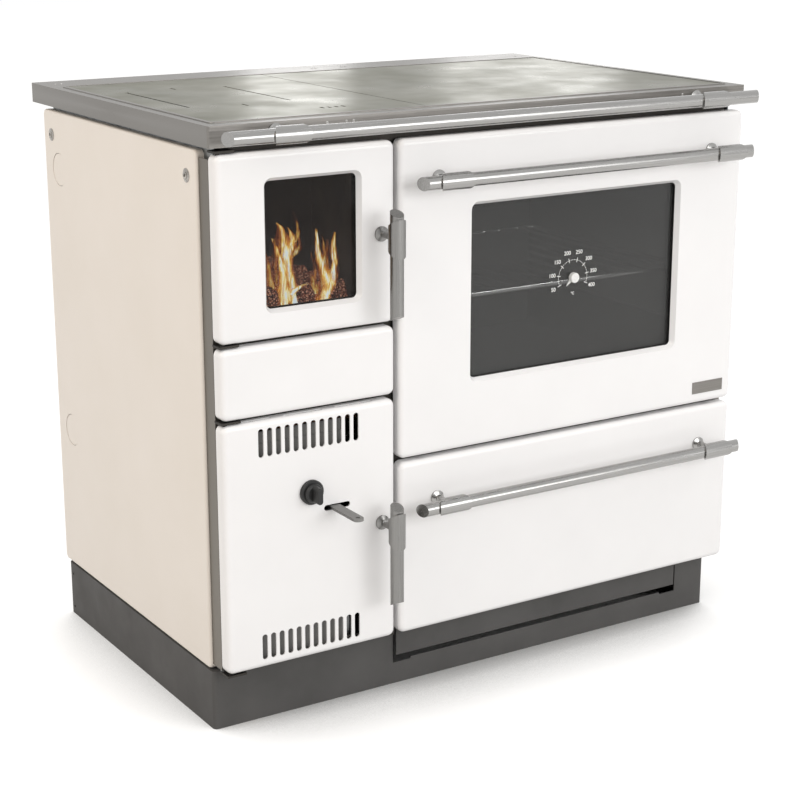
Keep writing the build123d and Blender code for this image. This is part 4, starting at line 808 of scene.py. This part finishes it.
def skin(mesh: bmesh.types.BMesh, lower: Ring, upper: Ring) -> None:
    """Adds the faces between two rings of points.

    Args:
        mesh: The mesh that gets them.
        lower: One ring's points in order; a single point is a tip.
        upper: The other ring's.
    """
    steps = max(len(lower), len(upper))
    for step in range(steps):
        after = (step + 1) % steps
        foot = (lower[step % len(lower)], lower[after % len(lower)])
        top = (upper[after % len(upper)], upper[step % len(upper)])
        mesh.faces.new(list(dict.fromkeys(foot + top)))


def stack(mesh: bmesh.types.BMesh, rings: list[Ring]) -> None:
    """Adds the closed form that runs through a row of rings.

    Args:
        mesh: The mesh that gets it.
        rings: The rings' points, from the foot to the top.
    """
    for lower, upper in zip(rings, rings[1:], strict=False):
        skin(mesh, lower, upper)
    for ring in (rings[0], rings[-1]):
        if len(ring) > 2:
            mesh.faces.new(ring)


def rim(sheet: list[Ring]) -> Ring:
    """Gives the points round a grid's edge.

    Args:
        sheet: The grid's rows of points.

    Returns:
        The edge's points in order.
    """
    inner_rows = sheet[1:-1]
    right = [row[-1] for row in inner_rows]
    left = [row[0] for row in reversed(inner_rows)]
    return sheet[0] + right + sheet[-1][::-1] + left


def join_sheets(mesh: bmesh.types.BMesh, upper: list[Ring], lower: list[Ring]) -> None:
    """Makes two matching grids of points a closed form.

    Args:
        mesh: The mesh that gets the faces.
        upper: Rows of points of one side.
        lower: Rows of points of the other side.
    """
    for row in range(len(upper) - 1):
        for column in range(len(upper[0]) - 1):
            for sheet in (upper, lower):
                near, far = sheet[row], sheet[row + 1]
                mesh.faces.new((near[column], near[column + 1], far[column + 1], far[column]))
    skin(mesh, rim(upper), rim(lower))


def turned(mesh: bmesh.types.BMesh, profile: Profile, foot: Vector, facing: Vector, steps: int) -> None:
    """Adds a turned form to a mesh.

    Args:
        mesh: The mesh that gets it.
        profile: Pairs of radius and height in millimetres, from the foot to the top; a radius of 0 is a tip.
        foot: The foot's middle, in millimetres.
        facing: The way the form stands.
        steps: How many facets go round it.
    """
    swing = facing.to_track_quat("Z", "Y").to_matrix()
    rings = []
    for radius, height in profile:
        angles = full_turn(steps if radius > 0.0 else 1)
        spots = [Vector((radius * math.cos(a), radius * math.sin(a), height)) for a in angles]
        rings.append([mesh.verts.new((foot + swing @ spot) * MM) for spot in spots])
    stack(mesh, rings)


@dataclass(frozen=True)
class SmallScrew:
    """A small round-headed screw, dished at its top: pairs of radius and height in millimetres."""

    profile: Profile = ((2.0, 0.0), (2.0, 0.3), (1.5, 0.7), (0.8, 0.8), (0.7, 0.4), (0.0, 0.4))
    steps: int = 16

    def add(self, mesh: bmesh.types.BMesh, foot: Vector, facing: Vector) -> None:
        """Adds the screw's head to a mesh, at a foot in millimetres."""
        turned(mesh, self.profile, foot, facing, self.steps)


# ---------------------------------------------------------------- the casing
@dataclass
class Casing:
    """The plinth, the carcass, the side panels with their screws and discs, and the strips at the front."""

    cup: Profile = ((9.5, 0.0), (9.5, 0.5), (8.0, 1.3), (5.2, 1.5), (4.6, 0.9))
    head: Profile = ((4.2, 0.9), (4.2, 1.6), (3.0, 2.5), (2.2, 2.7), (2.0, 1.2), (0.0, 1.2))
    cup_steps: int = 28
    panel_face: float = 447.0
    panel_screws: tuple[Pair, ...] = ((235.0, 777.0), (-228.0, 777.0))
    plinth_face: float = 446.0
    plinth_screw_y: float = 240.0
    plinth_screw_heights: Pair = (69.0, 13.0)

    def build(self) -> None:
        """Dresses the casing's nodes and adds its screws."""
        dress(Finishes.PLINTH, "plinth", "drawer_kick", "flue_collar")
        dress(Finishes.CREAM_CASING, "side_panel_left", "side_panel_right", "knockout_discs")
        dress(Finishes.STRIP, "corner_strip_left", "corner_strip_right")
        dress(Finishes.SHEET, "carcass_floor", "carcass_side_left", "carcass_side_right", "carcass_rear")
        dress(Finishes.SHEET, "partition", "drawer_runners")
        dress(Finishes.DARK_STEEL, "front_header", "front_mullion", "middle_rail", "front_rail_right")
        dress(Finishes.DARK_STEEL, "left_hinge_brackets", "oven_hinge_brackets")
        self.add_screws()

    def add_screws(self) -> None:
        """Adds the side panels' screws, each in a cup washer, and the plinth's small ones."""
        cups, small = bmesh.new(), bmesh.new()
        for side in (-1, 1):
            facing = Vector((side, 0, 0))
            for y, z in self.panel_screws:
                for profile in (self.cup, self.head):
                    turned(cups, profile, Vector((side * self.panel_face, y, z)), facing, self.cup_steps)
            for z in self.plinth_screw_heights:
                SmallScrew().add(small, Vector((side * self.plinth_face, self.plinth_screw_y, z)), facing)
        piece = place_mesh("side_panel_screws", cups, Finishes.CUP, "stove")
        piece = place_mesh("plinth_screws", small, Finishes.DARK_STEEL, "stove")


# ---------------------------------------------------------------- the worktop
@dataclass
class Worktop:
    """The steel frame with its screws, and the two hob plates."""

    frame_top: float = 848.5
    frame_front: float = -300.0
    top_screws: tuple[Pair, ...] = (
        (-428.0, 256.0),
        (-419.0, 256.0),
        (16.0, 257.0),
        (23.0, 257.0),
        (72.0, 257.0),
        (79.0, 257.0),
        (420.0, 253.0),
    )
    front_screws: tuple[float, ...] = (-276.0, -247.0, -236.0, 328.0)
    front_screw_height: float = 841.5

    def build(self) -> None:
        """Dresses the worktop and adds its small screws."""
        dress(Finishes.FRAME, "hob_frame")
        dress(Finishes.HOB, "hob_plate_left", "hob_plate_right")
        mesh = bmesh.new()
        for x, y in self.top_screws:
            SmallScrew().add(mesh, Vector((x, y, self.frame_top)), Vector((0, 0, 1)))
        for x in self.front_screws:
            SmallScrew().add(mesh, Vector((x, self.frame_front, self.front_screw_height)), Vector((0, -1, 0)))
        piece = place_mesh("worktop_screws", mesh, Finishes.SMALL_SCREW, "stove")


# ---------------------------------------------------------------- rails and handles
@dataclass
class Rails:
    """The three long rails and the two upright handles."""

    rails: tuple[str, ...] = ("worktop_rail", "oven_rail", "drawer_rail")
    handles: tuple[str, ...] = ("firebox_handle", "ash_handle")

    def build(self) -> None:
        """Dresses the rails, their brackets and the handles."""
        for name in self.rails:
            dress(Finishes.RAIL, f"{name}_bar", f"{name}_brackets")
        for name in self.handles:
            dress(Finishes.HANDLE, f"{name}_bar", f"{name}_mount")


# ---------------------------------------------------------------- the fronts
@dataclass(frozen=True)
class Seal:
    """A rope seal round an opening: what holds it, and the run's left and right and its foot and top."""

    name: str
    body: str
    x_span: Pair
    z_span: Pair


@dataclass
class Fronts:
    """The enamelled fronts, their panes, linings and seals, the air knob and the shaker's lever."""

    # The ash door's seal sits on the door, out of the ash pan's way; the others are on the stove.
    seals: tuple[Seal, ...] = (
        Seal("firebox_seal", "stove", (-419.0, -186.0), (577.0, 790.0)),
        Seal("ash_door_seal", "ash_door", (-419.0, -186.0), (104.0, 440.0)),
        Seal("oven_seal", "stove", (-118.0, 394.5), (398.5, 786.5)),
    )
    seal_radius: float = 1.7
    seal_y: float = -285.8
    seal_corner: float = 12.0
    corner_steps: int = 6
    rope_sides: int = 12

    def build(self) -> None:
        """Dresses the fronts and adds the door seals."""
        dress(Finishes.WHITE_FRONT, "firebox_door_panel", "middle_panel", "ash_door_panel")
        dress(Finishes.WHITE_FRONT, "oven_door_panel", "drawer_front")
        dress(Finishes.LINING_ENAMEL, "firebox_door_lining", "oven_door_lining")
        dress(Finishes.FIRE_GLASS, "firebox_door_glass")
        dress(Finishes.OVEN_GLASS, "oven_door_glass")
        dress(Finishes.INNER_GLASS, "oven_door_inner_glass")
        dress(Finishes.GASKET, "oven_window_gasket")
        dress(Finishes.SHIELD, "ash_door_shield", "air_flap")
        dress(Finishes.KNOB, "air_knob")
        dress(Finishes.LEVER, "shaker_lever")
        dress(Finishes.FRAME, "badge_plate")
        for seal in self.seals:
            self.add_seal(seal)

    def seal_path(self, seal: Seal) -> list[Vector]:
        """Runs round a seal's upright rounded rectangle.

        Args:
            seal: The seal.

        Returns:
            The points of its centre line in order, in millimetres.
        """
        left, right = seal.x_span[0] + self.seal_corner, seal.x_span[1] - self.seal_corner
        foot, top = seal.z_span[0] + self.seal_corner, seal.z_span[1] - self.seal_corner
        points = []
        for x, z, start in ((right, top, 0), (left, top, 90), (left, foot, 180), (right, foot, 270)):
            for step in range(self.corner_steps + 1):
                angle = math.radians(start + 90 * step / self.corner_steps)
                across, up = self.seal_corner * math.cos(angle), self.seal_corner * math.sin(angle)
                points.append(Vector((x + across, self.seal_y, z + up)))
        return points

    def add_seal(self, seal: Seal) -> None:
        """Adds a rope seal round an opening.

        Args:
            seal: The seal.
        """
        mesh = bmesh.new()
        path = self.seal_path(seal)
        rings = []
        for index, point in enumerate(path):
            along = (path[(index + 1) % len(path)] - path[index - 1]).normalized()
            side = along.cross(Vector((0, 1, 0))).normalized()
            up = side.cross(along)
            spots = [side * math.cos(angle) + up * math.sin(angle) for angle in full_turn(self.rope_sides)]
            rings.append([mesh.verts.new((point + spot * self.seal_radius) * MM) for spot in spots])
        for lower, upper in zip(rings, rings[1:] + rings[:1], strict=True):
            skin(mesh, lower, upper)
        place_mesh(seal.name, mesh, Finishes.SEAL, seal.body)


# ---------------------------------------------------------------- the oven
@dataclass
class Oven:
    """The oven's liner and rack, the drawer's box, the ash pan, and the thermometer's dial on the glass."""

    dial_x: float = 138.25
    dial_z: float = 587.0
    glass_y: float = -294.0
    stand_off: float = 0.12
    arc_radius: float = 26.0
    dash_places: int = 70
    dash_width: float = 0.9
    tick_reach: float = 3.4
    tick_width: float = 1.0
    stroke_depth: float = 0.1
    numeral_radius: float = 38.0
    numeral_height: float = 8.2
    numeral_depth: float = 0.05
    numeral_weight: float = 0.12
    unit_drop: float = 24.0
    unit_share: float = 0.7
    first_angle: float = 203.5
    step_angle: float = 32.4
    numbers: tuple[int, ...] = (50, 100, 150, 200, 250, 300, 350, 400)

    def build(self) -> None:
        """Dresses the oven and prints its dial."""
        dress(Finishes.OVEN_ENAMEL, "oven_liner", "rack_rails")
        dress(Finishes.RACK, "oven_rack")
        dress(Finishes.PRINT, "oven_pointer")
        dress(Finishes.SHEET, "drawer_box", "ash_pan")
        self.print_arc()
        for index, number in enumerate(self.numbers):
            place = self.spot(self.angle_at(index), self.numeral_radius)
            self.print_word(f"dial_number_{number}", str(number), place, self.numeral_height)
        place = self.spot(-90.0, self.unit_drop)
        self.print_word("dial_unit", "°C", place, self.numeral_height * self.unit_share)

    def angle_at(self, index: float) -> float:
        """Gives a number's angle on the dial in degrees; a fraction lies between two numbers."""
        return self.first_angle - self.step_angle * index

    def spot(self, angle: float, radius: float) -> Vector:
        """Finds a point of the dial on the glass.

        Args:
            angle: Its angle in degrees, from the right.
            radius: Its distance from the dial's middle, in millimetres.

        Returns:
            The point, in millimetres.
        """
        turn = math.radians(angle)
        x, z = self.dial_x + radius * math.cos(turn), self.dial_z + radius * math.sin(turn)
        return Vector((x, self.glass_y - self.stand_off, z))

    def print_arc(self) -> None:
        """Prints the dial's dashed arc with a tick across it at each number."""
        mesh = bmesh.new()
        last = len(self.numbers) - 1
        for place in range(0, self.dash_places, 2):
            angles = [self.angle_at(last * end / self.dash_places) for end in (place, place + 1)]
            ends = [self.spot(angle, self.arc_radius) for angle in angles]
            self.stroke(mesh, ends[0], ends[1], self.dash_width)
        for index in range(len(self.numbers)):
            radii = (self.arc_radius - self.tick_reach, self.arc_radius + self.tick_reach)
            ends = [self.spot(self.angle_at(index), radius) for radius in radii]
            self.stroke(mesh, ends[0], ends[1], self.tick_width)
        piece = place_mesh("dial_arc", mesh, Finishes.PRINT, "oven_door", smooth=False)

    def stroke(self, mesh: bmesh.types.BMesh, start: Vector, end: Vector, width: float) -> None:
        """Adds one straight stroke of ink.

        Args:
            mesh: The mesh that gets it.
            start: Where it starts, in millimetres.
            end: Where it ends.
            width: How wide it is.
        """
        across = (end - start).normalized().cross(Vector((0, 1, 0))) * (width / 2)
        front = [start + across, end + across, end - across, start - across]
        deep = Vector((0, self.stroke_depth, 0))
        rings = [[mesh.verts.new((point + back) * MM) for point in front] for back in (Vector(), deep)]
        stack(mesh, rings)

    def print_word(self, name: str, word: str, place: Vector, height: float) -> None:
        """Prints a number or a unit on the glass.

        Args:
            name: The piece's name.
            word: What it says.
            place: Its middle, in millimetres.
            height: The size of its letters, in millimetres.
        """
        words = bpy.data.curves.new(name, "FONT")
        words.body = word
        words.size = height * MM
        words.align_x = "CENTER"
        words.align_y = "CENTER"
        words.extrude = self.numeral_depth * MM
        words.offset = self.numeral_weight * MM
        words.materials.append(Finishes.PRINT.material)
        made = add_object(name, words, place * MM, (math.radians(90.0), 0.0, 0.0))
        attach(made, "oven_door")
        LOG.info("%s rides on oven_door", name)


# ---------------------------------------------------------------- the fire
@dataclass(frozen=True)
class Log:
    """A burnt log in the heap, with its front end towards the window."""

    # The middle of its front end, its rough radius and its length in millimetres, and its turn in degrees.
    end: Triple
    radius: float
    length: float
    turn: float


@dataclass(frozen=True)
class Tongue:
    """A tongue of flame: what it burns like, how far behind the first ones it stands, and its course.

    The course runs from the foot to the tip. Each step is a place across the window as a share of its width,
    a height over the window's foot, and half the tongue's width.
    """

    finish: Finishes
    back: float
    course: tuple[Triple, ...]


@dataclass
class Fire:
    """A heap of embers and burnt logs on the grate, with flames over it, seen through the firebox window."""

    x_span: Pair = (-401.0, -205.0)
    y_span: Pair = (-250.0, 60.0)
    heap_columns: int = 50
    heap_rows: int = 60
    grate_top: float = 416.6
    # The heap's crest behind the window, how much higher it is at the left, and how it falls to the right.
    crest: float = 604.0
    left_bank: float = 20.0
    bank_share: float = 1 / 3
    right_fall: float = 6.0
    # Over how much of the heap's depth it rises at the front and at the back, and how round that slope is.
    front_slope: float = 30.0
    back_slope: float = 60.0
    slope_power: float = 0.4
    thinnest: float = 2.0
    bedding: float = 6.0
    # Each layer of lumps: where its noise is cut, how fast it changes to the millimetre, and how high it is.
    lumps: tuple[Triple, ...] = ((0.0, 0.035, 12.0), (9.0, 0.12, 5.0))
    logs: tuple[Log, ...] = (
        Log((-276.0, -243.0, 598.0), 19.0, 150.0, 6.0),
        Log((-335.0, -240.0, 600.0), 17.0, 140.0, -20.0),
        Log((-226.0, -236.0, 598.0), 15.0, 120.0, 24.0),
    )
    log_rings: int = 14
    log_sides: int = 26
    # A log's first two rings, as shares of its radius, and the share of its length that its nose takes.
    # Its bark is a middle share of the radius and a swing round it, from a noise with a pace round the log
    # and one along it.
    log_nose: Pair = (0.55, 0.93)
    nose_share: float = 0.02
    bark: Pair = (0.92, 0.2)
    bark_pace: Pair = (1.5, 3.0)
    window_left: float = -350.0
    window_width: float = 147.0
    window_foot: float = 589.0
    flame_y: float = -238.0
    spread_out: float = 1.5
    course_steps: int = 8
    flame_columns: int = 8
    flame_bulge: float = 3.0
    flame_back: float = 0.8
    narrowest: float = 0.6
    tongues: tuple[Tongue, ...] = (
        Tongue(
            Finishes.FLAME,
            0.0,
            ((0.27, -4, 7), (0.27, 26, 9), (0.25, 54, 8), (0.2, 76, 5), (0.15, 94, 1)),
        ),
        Tongue(
            Finishes.FLAME,
            3.0,
            ((0.39, -4, 7), (0.36, 26, 8), (0.31, 56, 11), (0.28, 84, 11), (0.26, 104, 6), (0.21, 114, 1)),
        ),
        Tongue(Finishes.FLAME, 6.0, ((0.3, 58, 3), (0.36, 78, 7), (0.37, 94, 6), (0.33, 106, 1))),
        Tongue(Finishes.LOW_FLAME, 9.0, ((0.18, 20, 7), (0.15, 44, 9), (0.13, 62, 7), (0.1, 80, 1))),
        Tongue(Finishes.LOW_FLAME, 9.0, ((0.42, 84, 3), (0.45, 98, 6), (0.43, 112, 5), (0.4, 128, 1))),
        Tongue(Finishes.LOW_FLAME, 10.0, ((0.38, 62, 3), (0.44, 72, 7), (0.47, 84, 6), (0.46, 97, 1))),
        Tongue(Finishes.FLAME, 1.0, ((0.34, 14, 5), (0.41, 22, 7), (0.48, 25, 5), (0.57, 26, 1))),
        Tongue(
            Finishes.FLAME,
            2.0,
            ((0.68, -4, 8), (0.74, 18, 12), (0.7, 42, 9), (0.64, 66, 5), (0.62, 100, 1)),
        ),
        Tongue(
            Finishes.FLAME,
            5.0,
            ((0.72, -4, 7), (0.79, 26, 9), (0.82, 52, 6), (0.82, 72, 5), (0.83, 92, 1)),
        ),
        Tongue(Finishes.LOW_FLAME, 8.0, ((0.76, 36, 9), (0.74, 54, 8), (0.72, 72, 5), (0.7, 88, 1))),
        Tongue(Finishes.LOW_FLAME, 11.0, ((0.63, 8, 7), (0.62, 30, 9), (0.63, 46, 6), (0.6, 66, 1))),
        Tongue(Finishes.LOW_FLAME, 12.0, ((0.33, 8, 12), (0.28, 40, 16), (0.24, 70, 12), (0.22, 96, 2))),
        Tongue(Finishes.LOW_FLAME, 13.0, ((0.76, 4, 14), (0.76, 32, 16), (0.75, 56, 11), (0.78, 82, 2))),
    )

    def build(self) -> None:
        """Dresses the firebox, and builds the embers, the logs and the flames."""
        dress(Finishes.BRICK, "fire_brick_left", "fire_brick_right", "fire_brick_back")
        dress(Finishes.IRON, "hearth_plate", "fire_grate")
        self.heap_embers()
        for number, log in enumerate(self.logs, start=1):
            self.lay_log(f"log_{number}", log)
        for number, tongue in enumerate(self.tongues, start=1):
            self.light(f"flame_{number}", tongue)

    def crest_height(self, x: float, y: float) -> float:
        """Finds the height of the heap over a spot.

        Args:
            x: The spot's place across the stove, in millimetres.
            y: Its depth.

        Returns:
            The heap's height there, in millimetres.
        """
        front, back = (y - self.y_span[0]) / self.front_slope, (self.y_span[1] - y) / self.back_slope
        inward = max(0.0, min(1.0, front, back))
        aside = (x - self.window_left) / self.window_width
        bank = self.left_bank * max(0.0, 1.0 - aside / self.bank_share) - self.right_fall * max(0.0, aside)
        rise = (self.crest + bank - self.grate_top) * inward**self.slope_power
        lumps = sum(noise.noise(Vector((x, y, cut)) * pace) * height for cut, pace, height in self.lumps)
        return self.grate_top + max(self.thinnest, self.bedding + rise + lumps)

    def heap_embers(self) -> None:
        """Heaps the embers on the grate, up to the foot of the flames."""
        mesh = bmesh.new()
        (left, right), (front, back) = self.x_span, self.y_span
        columns = range(self.heap_columns + 1)
        across = [left + (right - left) * column / self.heap_columns for column in columns]
        top, foot = [], []
        for row in range(self.heap_rows + 1):
            y = front + (back - front) * row / self.heap_rows
            top.append([mesh.verts.new(Vector((x, y, self.crest_height(x, y))) * MM) for x in across])
            foot.append([mesh.verts.new(Vector((x, y, self.grate_top)) * MM) for x in across])
        join_sheets(mesh, top, foot)
        place_mesh("ember_heap", mesh, Finishes.EMBERS, "stove")

    def lay_log(self, name: str, log: Log) -> None:
        """Lays one burnt log in the heap.

        Args:
            name: The piece's name.
            log: The log.
        """
        mesh = bmesh.new()
        end = Vector(log.end)
        swing = Matrix.Rotation(math.radians(log.turn), 3, "Z")
        shares = self.log_nose + (1.0,) * (self.log_rings - 1)
        (middle, rough), (round_it, down_it) = self.bark, self.bark_pace
        rings = []
        for index, narrow in enumerate(shares):
            along = index / self.log_rings
            ring = []
            for angle in full_turn(self.log_sides):
                x, z = math.cos(angle), math.sin(angle)
                cut = Vector((x * round_it, along * down_it, z * round_it + end.x))
                reach = log.radius * narrow * (middle + rough * noise.noise(cut))
                spot = Vector((x * reach, max(0.0, along - self.nose_share) * log.length, z * reach))
                ring.append(mesh.verts.new((end + swing @ spot) * MM))
            rings.append(ring)
        stack(mesh, rings)
        place_mesh(name, mesh, Finishes.EMBERS, "stove")

    def follow(self, course: tuple[Triple, ...], along: float) -> list[float]:
        """Finds a tongue's place, height and half width on the smooth curve through its course.

        Args:
            course: The course's steps, foot first.
            along: How many steps up it is, which can be a fraction.

        Returns:
            The three values there.
        """
        last = len(course) - 1
        index = min(int(along), last - 1)
        share = along - index
        steps = (course[max(0, index - 1)], course[index], course[index + 1], course[min(last, index + 2)])
        values = []
        for before, first, second, after in zip(*steps, strict=True):
            bend = 2 * before - 5 * first + 4 * second - after
            twist = 3 * (first - second) + after - before
            values.append(first + 0.5 * share * (second - before + share * (bend + share * twist)))
        return values

    def light(self, name: str, tongue: Tongue) -> None:
        """Makes one tongue of flame, a thin leaf with its own map.

        Args:
            name: The piece's name.
            tongue: The tongue.
        """
        mesh = bmesh.new()
        chart = mesh.loops.layers.uv.new("tongue")
        steps = self.course_steps * (len(tongue.course) - 1)
        near, far, spots = [], [], {}
        for step in range(steps + 1):
            across, height, half = self.follow(tongue.course, step / self.course_steps)
            middle = self.window_left + self.window_width * across
            lines = ([], [])
            for column in range(self.flame_columns + 1):
                aside = column / self.flame_columns * 2 - 1
                x = middle + aside * max(self.narrowest, half) * self.spread_out
                bulge = math.cos(aside * math.pi / 2) * self.flame_bulge
                for line, depth in zip(lines, (-bulge, self.flame_back), strict=True):
                    y = self.flame_y + tongue.back + depth
                    vert = mesh.verts.new(Vector((x, y, self.window_foot + height)) * MM)
                    spots[vert] = (column / self.flame_columns, step / steps)
                    line.append(vert)
            near.append(lines[0])
            far.append(lines[1])
        join_sheets(mesh, near, far)
        for face in mesh.faces:
            for loop in face.loops:
                loop[chart].uv = spots[loop.vert]
        place_mesh(name, mesh, tongue.finish, "stove")


# ---------------------------------------------------------------- the studio
@dataclass(frozen=True)
class Lamp:
    """A soft lamp: where it hangs and what it points at in metres, its sides, its watts and its colour."""

    name: str
    place: Triple
    target: Triple
    size: Pair
    power: float
    colour: str = "#FFFFFF"


@dataclass
class Studio:
    """A pale floor, soft lamps, a white surround and the camera."""

    floor_reach: float = 14.0
    surround_colour: str = "#FFFDFB"
    surround_strength: float = 0.79
    lamps: tuple[Lamp, ...] = (
        Lamp("softbox_front_right", (0.9, -3.4, 1.4), (0.0, 0.0, 0.42), (2.8, 1.4), 45.0),
        Lamp("softbox_overhead", (-0.5, 0.6, 2.6), (-0.1, 0.0, 0.8), (1.4, 1.0), 9.0),
        Lamp("softbox_left", (-2.6, -0.8, 2.5), (-0.45, 0.0, 0.8), (1.6, 1.6), 24.0, "#FFF0DF"),
        Lamp("strip_light_left", (1.02, 2.1, 1.3), (-0.17, 0.0, 0.85), (0.28, 0.8), 1.7),
        Lamp("strip_light_right", (1.7, 1.93, 1.3), (0.25, 0.0, 0.85), (0.5, 0.8), 2.0),
        Lamp("oven_fill", (0.14, -0.24, 0.765), (0.14, 0.0, 0.56), (0.4, 0.08), 0.9),
    )
    focal_px: float = 1849.0
    sensor: float = 36.0
    sight: float = 60.0
    eye: Triple = (-1.485, -2.403, 1.154)
    azimuth: float = 32.14
    pitch: float = 15.88

    def build(self) -> None:
        """Sets the floor, the lamps, the surround and the camera up."""
        bpy.context.scene.view_settings.view_transform = "Standard"
        self.lay_floor()
        self.light_surround()
        for lamp in self.lamps:
            self.hang(lamp)
        self.set_camera()

    def lay_floor(self) -> None:
        """Lays the floor out far enough to meet the surround."""
        mesh = bmesh.new()
        bmesh.ops.create_grid(mesh, x_segments=1, y_segments=1, size=self.floor_reach)
        data = bpy.data.meshes.new("studio_floor")
        mesh.to_mesh(data)
        mesh.free()
        data.materials.append(Finishes.FLOOR.material)
        floor = add_object("studio_floor", data)

    def light_surround(self) -> None:
        """Makes the world: white to the eye and in mirrors, softer as light on the stove."""
        world = bpy.data.worlds.new("studio_surround")
        bpy.context.scene.world = world
        world.use_nodes = True
        tree = world.node_tree
        tree.nodes.clear()
        lighting = {"Color": linear(self.surround_colour), "Strength": self.surround_strength}
        light = add_node(tree, "ShaderNodeBackground", lighting)
        seen = add_node(tree, "ShaderNodeBackground", {"Color": linear("#FFFFFF"), "Strength": 1.0})
        links = {0: shown_to_the_eye(tree), 1: light.outputs["Background"], 2: seen.outputs["Background"]}
        mixed = add_node(tree, "ShaderNodeMixShader", {}, links)
        add_node(tree, "ShaderNodeOutputWorld", {}, {"Surface": mixed.outputs["Shader"]})

    def hang(self, lamp: Lamp) -> None:
        """Hangs a soft lamp.

        Args:
            lamp: The lamp.
        """
        data = bpy.data.lights.new(lamp.name, "AREA")
        data.color = linear(lamp.colour)[:3]
        data.shape = "RECTANGLE"
        data.size, data.size_y = lamp.size
        data.energy = lamp.power
        aim = Vector(lamp.target) - Vector(lamp.place)
        made = add_object(lamp.name, data, lamp.place, aim.to_track_quat("-Z", "Y").to_euler())
        made.visible_camera = False

    def set_camera(self) -> None:
        """Sets the camera at the photograph's viewing angle."""
        data = bpy.data.cameras.new("camera")
        data.sensor_width = self.sensor
        data.sensor_fit = "HORIZONTAL"
        data.lens = self.focal_px / IMAGE_SIZE * self.sensor
        data.clip_end = self.sight
        turn = (math.radians(90.0 - self.pitch), 0.0, math.radians(-self.azimuth))
        bpy.context.scene.camera = add_object("camera", data, self.eye, turn)


def main() -> None:
    """Builds the stove's parts in order, then the studio."""
    logging.basicConfig(level=logging.INFO, format="%(name)s: %(message)s")
    for part in (Casing(), Worktop(), Rails(), Fronts(), Oven(), Fire(), Studio()):
        part.build()
        LOG.info("%s is built", type(part).__name__)
    bpy.context.view_layer.update()


if __name__ == "__main__":
    main()
